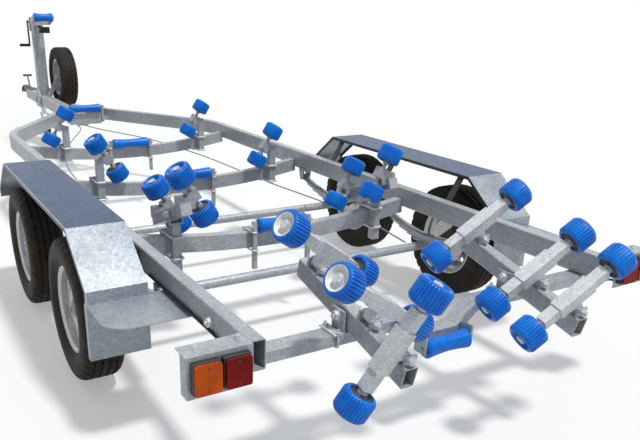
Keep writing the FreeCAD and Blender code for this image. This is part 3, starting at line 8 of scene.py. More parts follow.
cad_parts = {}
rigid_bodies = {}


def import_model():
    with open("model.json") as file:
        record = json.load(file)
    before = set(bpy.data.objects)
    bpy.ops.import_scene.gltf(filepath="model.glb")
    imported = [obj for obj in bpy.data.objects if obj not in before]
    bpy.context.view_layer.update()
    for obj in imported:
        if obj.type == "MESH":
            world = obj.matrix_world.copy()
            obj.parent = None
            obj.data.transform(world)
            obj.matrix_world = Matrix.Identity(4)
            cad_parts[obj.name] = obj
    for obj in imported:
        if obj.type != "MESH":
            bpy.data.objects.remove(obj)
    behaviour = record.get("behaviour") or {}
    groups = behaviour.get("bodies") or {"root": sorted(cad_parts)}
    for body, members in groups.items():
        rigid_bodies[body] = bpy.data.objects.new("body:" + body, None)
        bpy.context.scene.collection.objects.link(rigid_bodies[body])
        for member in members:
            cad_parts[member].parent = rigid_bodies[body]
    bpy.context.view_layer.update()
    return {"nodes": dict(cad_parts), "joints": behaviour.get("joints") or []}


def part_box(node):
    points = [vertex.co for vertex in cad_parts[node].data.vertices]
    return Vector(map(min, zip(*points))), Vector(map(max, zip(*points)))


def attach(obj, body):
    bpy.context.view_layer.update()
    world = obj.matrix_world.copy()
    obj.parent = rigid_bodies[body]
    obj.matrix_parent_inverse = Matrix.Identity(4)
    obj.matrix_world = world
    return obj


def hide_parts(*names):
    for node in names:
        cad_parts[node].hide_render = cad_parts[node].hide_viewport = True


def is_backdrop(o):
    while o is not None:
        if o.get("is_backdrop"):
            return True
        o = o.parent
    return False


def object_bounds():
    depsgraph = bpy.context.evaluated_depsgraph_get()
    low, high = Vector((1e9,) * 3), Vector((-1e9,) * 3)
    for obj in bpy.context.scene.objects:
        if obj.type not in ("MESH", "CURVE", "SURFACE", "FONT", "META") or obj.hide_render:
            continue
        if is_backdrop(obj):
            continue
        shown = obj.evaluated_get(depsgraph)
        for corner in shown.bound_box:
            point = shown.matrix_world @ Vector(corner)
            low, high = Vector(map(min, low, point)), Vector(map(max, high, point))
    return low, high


# The boat trailer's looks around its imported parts. Metres, +Y to the coupling, +Z up.

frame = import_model()
NODES = frame["nodes"]
JOINTS = {joint["name"]: joint for joint in frame["joints"]}

X, Y, Z = Vector((1, 0, 0)), Vector((0, 1, 0)), Vector((0, 0, 1))
SIDES = {"left": -1, "right": 1}
ARMS = (1, 2, 3)
WHEELS = ["%s_%s" % (row, side) for row in ("front", "rear") for side in SIDES]


# Material helpers

# Socket numbers of the node that mixes two colours
MIX_FACTOR, MIX_FIRST, MIX_SECOND, MIX_RESULT = 0, 6, 7, 2


def new_material(name, metallic=0.0, roughness=0.5, coat=0.0, specular=0.5):
    """A node material, its tree and its surface shader."""
    mat = bpy.data.materials.new(name)
    mat.use_nodes = True
    shader = mat.node_tree.nodes["Principled BSDF"]
    shader.inputs["Metallic"].default_value = metallic
    shader.inputs["Roughness"].default_value = roughness
    shader.inputs["Coat Weight"].default_value = coat
    shader.inputs["Specular IOR Level"].default_value = specular
    return mat, mat.node_tree, shader


def node(tree, kind, inputs=(), **settings):
    """A new node. Each of its inputs gets a plain value, or a link from another node's output."""
    made = tree.nodes.new(kind)
    for key, value in settings.items():
        setattr(made, key, value)
    for key, value in dict(inputs).items():
        if isinstance(value, bpy.types.NodeSocket):
            tree.links.new(value, made.inputs[key])
        else:
            made.inputs[key].default_value = value
    return made


def opaque(color):
    return tuple(color) + (1.0,)


def object_vector(tree, scale=(1, 1, 1)):
    place = node(tree, "ShaderNodeTexCoord").outputs["Object"]
    return node(tree, "ShaderNodeMapping", {"Scale": scale, "Vector": place}).outputs["Vector"]


def noise(tree, scale, detail=4.0, stretch=(1, 1, 1)):
    made = node(tree, "ShaderNodeTexNoise", {"Scale": scale, "Detail": detail, "Roughness": 0.55,
                                             "Vector": object_vector(tree, stretch)})
    return made.outputs["Fac"]


def ramp(tree, value, stops):
    made = node(tree, "ShaderNodeValToRGB", {"Fac": value})
    elements = made.color_ramp.elements
    while len(elements) < len(stops):
        elements.new(0.5)
    for element, (position, color) in zip(elements, stops):
        element.position = position
        element.color = opaque(color)
    return made.outputs["Color"]


def spread(tree, value, low, high, from_low=0.0, from_high=1.0):
    made = node(tree, "ShaderNodeMapRange", {"Value": value, "From Min": from_low, "From Max": from_high,
                                             "To Min": low, "To Max": high})
    return made.outputs["Result"]


def mixed(tree, factor, first, second, blend="MIX"):
    first, second = [opaque(c) if isinstance(c, tuple) else c for c in (first, second)]
    made = node(tree, "ShaderNodeMix", {MIX_FACTOR: factor, MIX_FIRST: first, MIX_SECOND: second},
                data_type="RGBA", blend_type=blend)
    return made.outputs[MIX_RESULT]


def bump(tree, shader, height, strength, distance):
    made = node(tree, "ShaderNodeBump", {"Height": height, "Strength": strength, "Distance": distance})
    tree.links.new(made.outputs["Normal"], shader.inputs["Normal"])


# Materials

# Colours along a ramp, as (position, share of the level) and (position, tint)
CRYSTAL_SHARES = ((0.0, 0.84), (0.5, 1.0), (1.0, 1.14))
CRYSTAL_WANDER = (0.012, 0.012, 0.012)
PATCH_TINTS = ((0.30, (0.70, 0.74, 0.80)), (0.50, (0.92, 0.94, 0.96)), (0.68, (1.12, 1.12, 1.10)))
# Vertical bands, partly drips and partly painted streaky reflections
STREAK_AND_REFLECTION_TINTS = ((0.40, (0.84, 0.84, 0.86)), (0.56, (1.0, 1.0, 1.0)), (0.70, (1.16, 1.16, 1.15)))
RUN_STRETCH = (1.0, 1.0, 0.22)
WORN_BLACK = (0.010, 0.0085, 0.0075)
SHINE_SCALE_SHARE = 1.7
PRISM_SIZE, PRISM_GAP, PRISM_SHARE = 0.006, 0.0011, 0.6


def galvanised(name, level, spangle=110.0, metallic=0.2, tint=(1.0, 1.0, 1.0), roughness=(0.3, 0.46),
               mottle=0.5, specular=0.3):
    """Hot-dip zinc: fine crystals of slightly different greys, soft dull patches, and faint vertical streaks
    that are partly drips and partly painted reflections.
    """
    mat, tree, shader = new_material(name, metallic=metallic, specular=specular)
    cloud = node(tree, "ShaderNodeTexNoise", {"Scale": 60.0, "Vector": object_vector(tree)})
    wander = node(tree, "ShaderNodeVectorMath", {0: cloud.outputs["Color"], 1: CRYSTAL_WANDER,
                                                 2: object_vector(tree)}, operation="MULTIPLY_ADD")
    cells = node(tree, "ShaderNodeTexVoronoi", {"Scale": spangle, "Vector": wander.outputs["Vector"]},
                 feature="F1")
    crystal = node(tree, "ShaderNodeSeparateColor", {"Color": cells.outputs["Color"]})
    greys = [(stop, tuple(share * level * part for part in tint)) for stop, share in CRYSTAL_SHARES]
    crystals = ramp(tree, crystal.outputs["Red"], greys)
    patches = ramp(tree, noise(tree, scale=5.5, detail=6.0), PATCH_TINTS)
    streaks_and_reflections = ramp(tree, noise(tree, scale=13.0, stretch=RUN_STRETCH), STREAK_AND_REFLECTION_TINTS)
    base = mixed(tree, mottle, mixed(tree, mottle, crystals, patches, "MULTIPLY"), streaks_and_reflections, "MULTIPLY")
    tree.links.new(base, shader.inputs["Base Color"])
    tree.links.new(spread(tree, crystal.outputs["Green"], *roughness), shader.inputs["Roughness"])
    bump(tree, shader, noise(tree, scale=46.0, detail=5.0), strength=0.22, distance=0.0012)
    return mat


def speckled(name, color, second, roughness, scale, metallic=0.0, specular=0.5, grain=160.0):
    """A plain surface that varies a little between two colours, with a fine grain."""
    mat, tree, shader = new_material(name, metallic=metallic, specular=specular)
    field = ramp(tree, noise(tree, scale, detail=5.0), ((0.35, color), (0.70, second)))
    shine = spread(tree, noise(tree, scale * SHINE_SCALE_SHARE, detail=3.0), *roughness)
    tree.links.new(field, shader.inputs["Base Color"])
    tree.links.new(shine, shader.inputs["Roughness"])
    bump(tree, shader, noise(tree, grain, detail=3.0), strength=0.3, distance=0.0006)
    return mat


def rubber(name, dust):
    mat, tree, shader = new_material(name, specular=0.22)
    worn = ramp(tree, noise(tree, scale=14.0, detail=6.0), ((0.30, WORN_BLACK), (0.75, dust)))
    tree.links.new(worn, shader.inputs["Base Color"])
    shine = spread(tree, noise(tree, scale=30.0), low=0.55, high=0.8)
    tree.links.new(shine, shader.inputs["Roughness"])
    bump(tree, shader, noise(tree, scale=220.0), strength=0.35, distance=0.0006)
    return mat


def lens(name, color, deep):
    """Moulded lens with fine square prisms behind its skin."""
    mat, tree, shader = new_material(name, roughness=0.32, coat=0.03, specular=0.12)
    upright = node(tree, "ShaderNodeMapping", {"Vector": object_vector(tree),
                                               "Rotation": (math.radians(-90), 0, 0)})
    prisms = node(tree, "ShaderNodeTexBrick", {
        "Vector": upright.outputs["Vector"], "Scale": 1.0, "Brick Width": PRISM_SIZE,
        "Row Height": PRISM_SIZE, "Mortar Size": PRISM_GAP, "Mortar Smooth": 0.6, "Color1": (1, 1, 1, 1),
        "Color2": (0.86, 0.86, 0.86, 1), "Mortar": (0.35, 0.35, 0.35, 1)}, offset=0.0)
    cloud = ramp(tree, noise(tree, scale=12.0, detail=3.0), ((0.30, deep), (0.72, color)))
    tinted = mixed(tree, PRISM_SHARE, cloud, prisms.outputs["Color"], "MULTIPLY")
    tree.links.new(tinted, shader.inputs["Base Color"])
    bump(tree, shader, prisms.outputs["Fac"], strength=0.5, distance=0.0012)
    return mat


FRAME_ZINC = galvanised("galvanised_frame", level=0.45, tint=(0.95, 1.0, 1.06), mottle=0.4)
# The mudguards' sheet zinc, dark and bluish: a painted reflection of dark sky on the flat top
SHEET_ZINC_PAINTED_SKY_REFLECTION = galvanised("galvanised_sheet_painted_sky_reflection", level=0.105, spangle=120.0, tint=(0.56, 0.94, 1.70),
                        roughness=(0.30, 0.40), mottle=0.4, specular=0.1)
# A lighter copy of the mudguard zinc, painted light beside the dark top
SLOPE_ZINC_PAINTED_LIGHT = galvanised("galvanised_slope_painted_light", level=0.41, spangle=120.0, metallic=0.3, tint=(0.90, 1.0, 1.10),
                        roughness=(0.26, 0.36), mottle=0.6)
BRIGHT_ZINC = galvanised("bright_zinc", level=0.66, spangle=160.0, tint=(0.98, 1.0, 1.03), mottle=0.28)
RIM_ZINC = galvanised("galvanised_rim", level=0.60, spangle=320.0, metallic=0.4, roughness=(0.24, 0.30),
                      mottle=0.2)
DULL_STEEL = speckled("dull_steel", (0.05, 0.05, 0.053), (0.12, 0.115, 0.11), roughness=(0.4, 0.65),
                      scale=26.0, metallic=0.6)
CAST = speckled("cast_iron_brake", (0.05, 0.038, 0.03), (0.11, 0.08, 0.06), roughness=(0.6, 0.8),
                scale=30.0, metallic=0.3)
BLACK_PAINT = speckled("black_paint", (0.012, 0.012, 0.013), (0.03, 0.03, 0.032), roughness=(0.35, 0.5),
                       scale=18.0)
TYRE_RUBBER = rubber("tyre_rubber", dust=(0.034, 0.025, 0.019))
PLAIN_RUBBER = rubber("black_rubber", dust=(0.026, 0.025, 0.026))
BLUE = speckled("blue_polyurethane", (0.0, 0.125, 0.60), (0.0, 0.22, 0.76), roughness=(0.28, 0.4),
                scale=16.0, specular=0.32)
BLUE_SMOOTH = speckled("blue_polyurethane_smooth", (0.0, 0.125, 0.58), (0.0, 0.20, 0.72),
                       roughness=(0.3, 0.42), scale=12.0, specular=0.28)
WHITE_HUB = speckled("white_hub_plastic", (0.74, 0.75, 0.76), (0.86, 0.86, 0.86), roughness=(0.35, 0.5),
                     scale=24.0)
# Near black that paints the shade on the rollers' inward faces and recesses
GREY_HUB_PAINTED_SHADE = speckled("grey_hub_painted_shade", (0.045, 0.05, 0.062), (0.085, 0.09, 0.105), roughness=(0.5, 0.7),
                    scale=24.0)
AMBER = lens("amber_lens", (0.80, 0.13, 0.0), deep=(0.52, 0.06, 0.0))
RED = lens("red_lens", (0.30, 0.002, 0.001), deep=(0.14, 0.0, 0.0))
CABLE_GREY = speckled("grey_cable", (0.20, 0.20, 0.21), (0.32, 0.32, 0.33), roughness=(0.4, 0.55), scale=40.0)
WEBBING = speckled("winch_webbing", (0.30, 0.42, 0.05), (0.45, 0.55, 0.10), roughness=(0.75, 0.9),
                   scale=60.0, grain=420.0)


# Mesh helpers

# Edges that turn by more than this stay sharp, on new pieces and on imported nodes
PIECE_CREASE, NODE_CREASE = math.radians(32), math.radians(28)
# A radius that counts as none, and how steep an axis may be before Y frames it in place of Z
ON_AXIS, STEEP = 1e-6, 0.9
# Shares of a nut's height and corner radius where its chamfer starts and ends
CHAMFER_START, CHAMFER_END = 0.82, 0.86
# A bolt's washer, head and shank in shares of the head's width over its flats
WASHER_SHARE, HEAD_SHARE, SHANK_SHARE, SHANK_REACH, SHANK_TIP = 0.72, 0.50, 0.28, 0.20, 0.26
WASHER_THICKNESS = 0.0022
# The bevel's roundness, and how much of a path's leg one bend may take
ROUND_EDGE, LEG_SHARE = 0.6, 0.49


def axis_frame(axis):
    """Rotation whose X column is axis."""
    axis = Vector(axis).normalized()
    helper = Z if abs(axis.z) < STEEP else Y
    side = (helper - axis * helper.dot(axis)).normalized()
    return Matrix((axis, side, axis.cross(side))).transposed()


class Builder:
    """Gathers the vertices and faces of one piece. A slot is the number of a face's material."""

    def __init__(self):
        self.verts, self.faces, self.slots = [], [], []

    def add(self, verts, faces, slot=0):
        base = len(self.verts)
        self.verts += [tuple(v) for v in verts]
        self.faces += [tuple(base + i for i in face) for face in faces]
        self.slots += [slot] * len(faces)

    def lathe(self, centre, axis, profile, segments, slot=0, shape=None):
        """Revolves (along, radius) points. shape(fraction, along, radius) gives another radius."""
        centre, turn = Vector(centre), axis_frame(axis)
        verts, rows = [], []
        for along, radius in profile:
            if radius <= ON_AXIS:
                rows.append([len(verts)])
                verts.append(centre + turn @ Vector((along, 0, 0)))
                continue
            rows.append(list(range(len(verts), len(verts) + segments)))
            for k in range(segments):
                angle = 2 * math.pi * k / segments
                r = shape(k / segments, along, radius) if shape else radius
                verts.append(centre + turn @ Vector((along, r * math.cos(angle), r * math.sin(angle))))
        faces = []
        for low, high in zip(rows, rows[1:]):
            for k in range(segments):
                n = (k + 1) % segments
                if len(low) > 1 and len(high) > 1:
                    faces.append((low[k], low[n], high[n], high[k]))
                elif len(high) > 1:
                    faces.append((low[0], high[n], high[k]))
                elif len(low) > 1:
                    faces.append((low[k], low[n], high[0]))
        self.add(verts, faces, slot)

    def hexagon(self, centre, axis, across, height):
        """A nut or bolt head with its outer face chamfered."""
        r = across / math.sqrt(3)
        outline = [(0, 0), (0, r), (height * CHAMFER_START, r), (height, r * CHAMFER_END), (height, 0)]
        self.lathe(centre, axis, outline, segments=6)

    def bolt(self, centre, axis, across):
        """Washer, head and the shank's rounded end."""
        centre, axis = Vector(centre), Vector(axis).normalized()
        washer, head, shank = across * WASHER_SHARE, across * HEAD_SHARE, across * SHANK_SHARE
        disc = [(0, 0), (0, washer), (WASHER_THICKNESS, washer), (WASHER_THICKNESS, 0)]
        self.lathe(centre, axis, disc, segments=20)
        self.hexagon(centre + axis * WASHER_THICKNESS, axis, across, head)
        tip = [(0, 0), (0, shank), (across * SHANK_REACH, shank), (across * SHANK_TIP, 0)]
        self.lathe(centre + axis * (WASHER_THICKNESS + head), axis, tip, segments=12)

    def block(self, low, high, edge):
        """A box between two corners, with its edges rounded."""
        maker = bmesh.new()
        bmesh.ops.create_cube(maker, size=1.0)
        low, high = Vector(low), Vector(high)
        for v in maker.verts:
            v.co = Vector([low[i] + (v.co[i] + 0.5) * (high[i] - low[i]) for i in range(3)])
        bmesh.ops.bevel(maker, geom=maker.edges[:], offset=edge, segments=2, affect="EDGES",
                        profile=ROUND_EDGE)
        maker.verts.index_update()
        self.add([v.co for v in maker.verts], [[v.index for v in face.verts] for face in maker.faces])
        maker.free()

    def tube(self, points, radius, sides=12, slot=0):
        """A round bar swept along points, with flat ends."""
        points = [Vector(p) for p in points]
        last = len(points) - 1
        verts, side = [], None
        for i, point in enumerate(points):
            tangent = (points[min(i + 1, last)] - points[max(i - 1, 0)]).normalized()
            side = tangent.orthogonal() if side is None else side - tangent * side.dot(tangent)
            side.normalize()
            other = tangent.cross(side)
            for k in range(sides):
                angle = 2 * math.pi * k / sides
                verts.append(point + (side * math.cos(angle) + other * math.sin(angle)) * radius)
        faces = []
        for ring in range(0, last * sides, sides):
            for k in range(sides):
                n = (k + 1) % sides
                faces.append((ring + k, ring + n, ring + sides + n, ring + sides + k))
        faces.append(tuple(reversed(range(sides))))
        faces.append(tuple(last * sides + k for k in range(sides)))
        self.add(verts, faces, slot)

    def mesh(self, name):
        made = bpy.data.meshes.new(name)
        made.from_pydata(self.verts, [], self.faces)
        made.polygons.foreach_set("material_index", self.slots)
        maker = bmesh.new()
        maker.from_mesh(made)
        bmesh.ops.recalc_face_normals(maker, faces=maker.faces)
        maker.to_mesh(made)
        maker.free()
        made.validate()
        return made


def finish_piece(name, maker, body, materials, replaces=()):
    """Turns what a builder gathered into a piece that rides on a body."""
    obj = bpy.data.objects.new(name, maker.mesh(name))
    bpy.context.scene.collection.objects.link(obj)
    for mat in materials:
        obj.data.materials.append(mat)
    obj.data.shade_smooth()
    obj.data.set_sharp_from_angle(angle=PIECE_CREASE)
    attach(obj, body)
    if replaces:
        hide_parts(*replaces)


def rounded_path(points, radius, steps):
    """The corners of a path turned into arcs, each within its own half of the legs."""
    points = [Vector(p) for p in points]
    path = [points[0]]
    for before, corner, after in zip(points, points[1:], points[2:]):
        back, on = (before - corner).normalized(), (after - corner).normalized()
        longest = LEG_SHARE * min((before - corner).length, (after - corner).length)
        cut = min(radius / math.tan(back.angle(on) / 2), longest)
        start, end = corner + back * cut, corner + on * cut
        for s in range(steps + 1):
            t = s / steps
            path.append(start.lerp(corner, t).lerp(corner.lerp(end, t), t))
    return path + [points[-1]]


def smooth_path(points, steps=10):
    """Catmull-Rom curve through points."""
    points = [Vector(p) for p in points]
    padded = [points[0] * 2 - points[1]] + points + [points[-1] * 2 - points[-2]]
    path = []
    for p0, p1, p2, p3 in zip(padded, padded[1:], padded[2:], padded[3:]):
        for s in range(steps):
            t = s / steps
            path.append(0.5 * (2 * p1 + (p2 - p0) * t + (2 * p0 - 5 * p1 + 4 * p2 - p3) * t * t
                               + (3 * p1 - p0 - 3 * p2 + p3) * t ** 3))
    return path + [points[-1]]


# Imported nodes

PLAIN_NODES = {
    "side_rails": FRAME_ZINC, "drawbar": FRAME_ZINC, "cross_members": FRAME_ZINC, "axles": FRAME_ZINC,
    "leaf_springs": FRAME_ZINC, "lamp_brackets": FRAME_ZINC, "keel_brackets": FRAME_ZINC,
    "roller_posts": FRAME_ZINC, "brake_calipers": CAST, "lamps_amber": AMBER, "lamps_red": RED,
    "bow_stop": PLAIN_RUBBER, "bow_roller": BLUE_SMOOTH, "coupling": DULL_STEEL,
    "jockey_sleeve": BRIGHT_ZINC, "jockey_leg": BRIGHT_ZINC, "jockey_fork": BRIGHT_ZINC,
    "jockey_wheel": PLAIN_RUBBER, "spare_rim": RIM_ZINC}
KEEL_ROLLERS = (1, 2, 3, 4, 5)
GUARD_LOW, GUARD_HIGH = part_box("mudguards")
CRANK_LOW, CRANK_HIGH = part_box("winch_drum")
# Where the black winch frame begins on its galvanised post
WINCH_FRAME_BACK, WINCH_FRAME_LOW = CRANK_LOW.y - 0.018, 1.12
# The crank's grip lies left of one of these and below the other
GRIP_RIGHT, GRIP_TOP = CRANK_HIGH.x - 0.13, CRANK_LOW.z + 0.032
# Where the stays under the mudguards lie, painted black as their shade, and the zinc step plate behind the
# wheels
STAY_INNER, STAY_OUTER = 0.8015, 0.906
STAY_LOW, STAY_TOP = 0.48, GUARD_HIGH.z - 0.0032
STEP_TOP, STEP_FRONT = 0.50, GUARD_LOW.y + 0.3
# How far a mudguard's face looks along Y where it takes the slopes' lighter zinc, a painted lit copy beside
# the top's painted dark sky reflection
SLOPE_FACING = 0.25


def paint(name, mat, pick=None, other=None):
    """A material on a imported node; faces for which pick is true take the other one."""
    obj = NODES[name]
    obj.data.materials.clear()
    obj.data.materials.append(mat)
    if other:
        obj.data.materials.append(other)
        for face in obj.data.polygons:
            face.material_index = 1 if pick(face.center) else 0
    obj.data.shade_smooth()
    obj.data.set_sharp_from_angle(angle=NODE_CREASE)


def on_winch_frame(spot):
    return spot.z > WINCH_FRAME_LOW and spot.y > WINCH_FRAME_BACK


def on_crank_grip(spot):
    return spot.x < GRIP_RIGHT and spot.z < GRIP_TOP


# Stay faces take black paint that stands for their shade
def on_stay_painted_shade(spot):
    on_step = spot.z < STEP_TOP and spot.y < STEP_FRONT
    return STAY_INNER < abs(spot.x) < STAY_OUTER and STAY_LOW < spot.z < STAY_TOP and not on_step


for name, mat in PLAIN_NODES.items():
    paint(name, mat)
for side in SIDES:
    paint("cradle_beam_" + side, FRAME_ZINC)
    paint("rocker_" + side, FRAME_ZINC)
    for arm in ARMS:
        paint("cradle_arm_%d_%s" % (arm, side), BRIGHT_ZINC)
for number in KEEL_ROLLERS:
    paint("keel_roller_%d" % number, BLUE_SMOOTH)
for name in WHEELS:
    paint("rim_" + name, RIM_ZINC)
paint("winch_post", FRAME_ZINC, on_winch_frame, BLACK_PAINT)
paint("winch_drum", DULL_STEEL, on_crank_grip, PLAIN_RUBBER)
paint("mudguards", SHEET_ZINC_PAINTED_SKY_REFLECTION, on_stay_painted_shade, BLACK_PAINT)
# Faces looking along Y and the low faces take the painted lit copy; the rest keep the painted dark sky
# reflection
NODES["mudguards"].data.materials.append(SLOPE_ZINC_PAINTED_LIGHT)
for face in NODES["mudguards"].data.polygons:
    if face.material_index == 0 and (abs(face.normal.y) > SLOPE_FACING or face.center.z < STEP_TOP):
        face.material_index = 2


# Tyres with their tread

TREAD_SEGMENTS = 252
BEAD_HALF, BEAD_RADIUS = 0.058, 0.165
INNER_HALF, INNER_RADIUS = 0.040, 0.1655
# A tyre's outline: out from the bead's face and up from the bead, in from the widest point and up
# from the bead, then in from the widest point and down from the tread
BEAD_RUN = ((-0.006, 0.0), (0.0, 0.002), (0.002, 0.012))
WALL_RUN = ((0.009, 0.030), (0.0045, 0.042), (0.003, 0.044), (0.001, 0.056), (0.0, 0.068), (0.0012, 0.082),
            (0.0035, 0.094), (0.0022, 0.096))
SHOULDER_RUN = ((0.005, 0.022), (0.011, 0.012), (0.019, 0.0055), (0.026, 0.003))
GROOVE_CENTRES = (0.015, 0.044)
GROOVE_RUN = ((-0.0048, 0.0008), (-0.0035, 0.0075), (0.0035, 0.0075), (0.0048, 0.0008))
# The depth of the cut bands, how far from the middle they begin and how deep the cuts go
TREAD_BAND, SHOULDER_FROM, SHOULDER_CUT = 0.024, 0.050, 0.006
RIB_BAND, RIB_FROM, RIB_SLIT = 0.004, 0.018, 0.004
# The cuts' spacing and width, and the slits' shift against them, in segments
CUT_SPACING, CUT_WIDTH, SLIT_SHIFT = 7, 2, 3


def tyre_profile(half, radius):
    outer = [(BEAD_HALF + out, BEAD_RADIUS + up) for out, up in BEAD_RUN]
    outer += [(half - inset, BEAD_RADIUS + up) for inset, up in WALL_RUN]
    outer += [(half - inset, radius - drop) for inset, drop in SHOULDER_RUN]
    grooves = [(x + along, radius - drop) for x in GROOVE_CENTRES for along, drop in GROOVE_RUN]
    right = [(0.0, radius)] + grooves + outer[::-1]
    left = [(-along, r) for along, r in right[1:]]
    return left[::-1] + right


def tread_shape(radius):
    """Cuts short grooves across the shoulders and slits across the ribs."""
    def shape(fraction, along, r):
        step = int(round(fraction * TREAD_SEGMENTS))
        if r < radius - TREAD_BAND:
            return r
        if abs(along) > SHOULDER_FROM:
            return r - SHOULDER_CUT if step % CUT_SPACING < CUT_WIDTH else r
        if r > radius - RIB_BAND and abs(along) > RIB_FROM and (step + SLIT_SHIFT) % CUT_SPACING == 0:
            return r - RIB_SLIT
        return r
    return shape


def make_tyre(name, node_name, body):
    low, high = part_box(node_name)
    centre, half, radius = (low + high) / 2, (high.x - low.x) / 2, (high.z - low.z) / 2
    profile = tyre_profile(half, radius)
    inside = [profile[-1], (INNER_HALF, INNER_RADIUS), (-INNER_HALF, INNER_RADIUS), profile[0]]
    tyre = Builder()
    tyre.lathe(centre, X, profile, TREAD_SEGMENTS, shape=tread_shape(radius))
    tyre.lathe(centre, X, inside, TREAD_SEGMENTS)
    finish_piece(name, tyre, body, [TYRE_RUBBER], replaces=[node_name])


for name in WHEELS:
    make_tyre("tread_" + name, "tyre_" + name, "wheel_" + name)
make_tyre("tread_spare", "spare_tyre", "chassis")


# Wheel nuts and hub caps, with outlines as (along, radius)

NUT_COUNT, NUT_CIRCLE, NUT_START = 5, 0.054, 0.3
NUT_ACROSS, NUT_HEIGHT, NUT_LIFT = 0.019, 0.014, 0.003
DISC_FACE, CAP_FACE = 0.022, 0.028
NUT_SEAT = ((0, 0), (0, 0.013), (0.004, 0.0105), (0.004, 0))
HUB_CAP = ((0, 0.0262), (0.010, 0.0262), (0.010, 0.0275), (0.014, 0.0275), (0.016, 0.026), (0.0245, 0.024),
           (0.028, 0.018), (0.0295, 0.008), (0.0298, 0))


def wheel_nuts(wheel):
    centre = Vector(JOINTS["wheel_%s_spin" % wheel]["pos_m"])
    outward = X if centre.x > 0 else -X
    nuts = Builder()
    for k in range(NUT_COUNT):
        angle = 2 * math.pi * k / NUT_COUNT + NUT_START
        ring = Vector((0, NUT_CIRCLE * math.cos(angle), NUT_CIRCLE * math.sin(angle)))
        spot = centre + outward * DISC_FACE + ring
        nuts.lathe(spot, outward, NUT_SEAT, segments=18)
        nuts.hexagon(spot + outward * NUT_LIFT, outward, NUT_ACROSS, NUT_HEIGHT)
    nuts.lathe(centre + outward * CAP_FACE, outward, HUB_CAP, segments=40, slot=1)
    finish_piece("wheel_nuts_" + wheel, nuts, "wheel_" + wheel, [BRIGHT_ZINC, DULL_STEEL])


for name in WHEELS:
    wheel_nuts(name)


# Ribbed hull rollers

RIBS, RIB_STEPS, RIB_DEPTH, RIBBED_BAND = 30, 8, 0.0038, 0.0065
RIB_SEGMENTS = RIBS * RIB_STEPS
RIB_WAVE = (0.0, 0.8, 1.0, 1.0, 1.0, 0.8, 0.0, 0.0)
ROLLER_HALF, ROLLER_RADIUS, ROLLER_BORE = 0.040, 0.058, 0.0102
HUB_RADIUS, HUB_DEPTH, HUB_SEGMENTS = 0.042, 0.016, 56
# In from the roller's face, and down from its ribs or from the hub's rim
ROLLER_EDGE = ((0.0, 0.0095), (0.0012, 0.0070), (0.0085, 0.0010), (0.0115, 0.0))
DISH_EDGE = ((0.0, -0.0005), (0.0015, 0.0020), (0.0060, 0.0045))
# Out from the dish's floor or in from the back face, and the radius there
DISH_FLOOR = ((0.004, 0.034), (0.0, 0.030), (0.0, 0.022), (0.001, 0.020), (0.001, ROLLER_BORE))
BACK_RECESS = ((0.001, 0.0405), (0.007, 0.0380), (0.007, 0.0260), (0.004, 0.0240), (0.004, 0.0195),
               (0.001, 0.0180), (0.0, 0.0165), (0.0, ROLLER_BORE))
# Outlines as (along, radius)
ROD_WASHER = ((0, 0.0205), (0.0018, 0.0205), (0.0018, 0))
ROD_NUT = ((0, 0), (0, 0.0172), (0.0125, 0.0172), (0.0135, 0.0160), (0.0135, 0))
WASHER_LIFT, ROD_NUT_LIFT = 0.0012, 0.001
TWIN_SPACING, ARM_SPACING = 0.205, 0.404
WHITE_HUB_ARMS = ("1_left", "2_left")


def rib_shape(fraction, along, radius):
    if radius < ROLLER_RADIUS - RIBBED_BAND:
        return radius
    wave = RIB_WAVE[int(round(fraction * RIB_SEGMENTS)) % RIB_STEPS]
    return radius - RIB_DEPTH * (1 - wave)


def hull_roller(maker, centre, outward):
    """A ribbed tyre, a dished hub outwards and a recess inwards, whose dark grey is painted shade."""
    face, floor = ROLLER_HALF, ROLLER_HALF - HUB_DEPTH
    edge = [(face - inset, ROLLER_RADIUS - drop) for inset, drop in ROLLER_EDGE]
    dish = [(face - inset, HUB_RADIUS - drop) for inset, drop in DISH_EDGE]
    dish += [(floor + lift, radius) for lift, radius in DISH_FLOOR]
    back = [(inset - face, radius) for inset, radius in BACK_RECESS]
    back_edge = [(-along, radius) for along, radius in reversed(edge)] + [(-face, HUB_RADIUS), back[0]]
    maker.lathe(centre, outward, dish[:1] + edge + back_edge, RIB_SEGMENTS, shape=rib_shape)
    maker.lathe(centre, outward, dish, HUB_SEGMENTS, slot=1)
    maker.lathe(centre, outward, back, HUB_SEGMENTS, slot=2)
    maker.lathe(centre, outward, [back[-1], dish[-1]], segments=24, slot=2)


def roller_pair(family, tag, spacing, hub):
    """The two rollers of one node, with hub as their outward hubs' material, and their rod's nuts."""
    node_name = family + tag
    joint = JOINTS[node_name + "_spin"]
    middle, axis = Vector(joint["pos_m"]), Vector(joint["axis"])
    rollers, nuts = Builder(), Builder()
    for out in (-axis, axis):
        hull_roller(rollers, middle + out * (spacing / 2), out)
        seat = middle + out * (spacing / 2 + ROLLER_HALF - HUB_DEPTH + WASHER_LIFT)
        nuts.lathe(seat, out, ROD_WASHER, segments=28)
        nuts.lathe(seat + out * ROD_NUT_LIFT, out, ROD_NUT, segments=6)
    finish_piece("ribbed_" + node_name, rollers, joint["child"], [BLUE, hub, GREY_HUB_PAINTED_SHADE],
                 replaces=[node_name])
    finish_piece("rod_nuts_" + tag, nuts, joint["parent"], [BRIGHT_ZINC])


for side in SIDES:
    for row in ("front", "middle"):
        roller_pair("hull_rollers_", "%s_%s" % (row, side), TWIN_SPACING, BLUE_SMOOTH)
    for row in ("fore", "aft"):
        roller_pair("rocker_rollers_", "%s_%s" % (row, side), TWIN_SPACING, BLUE_SMOOTH)
    for arm in ARMS:
        tag = "%d_%s" % (arm, side)
        roller_pair("cradle_rollers_", tag, ARM_SPACING, WHITE_HUB if tag in WHITE_HUB_ARMS else BLUE_SMOOTH)


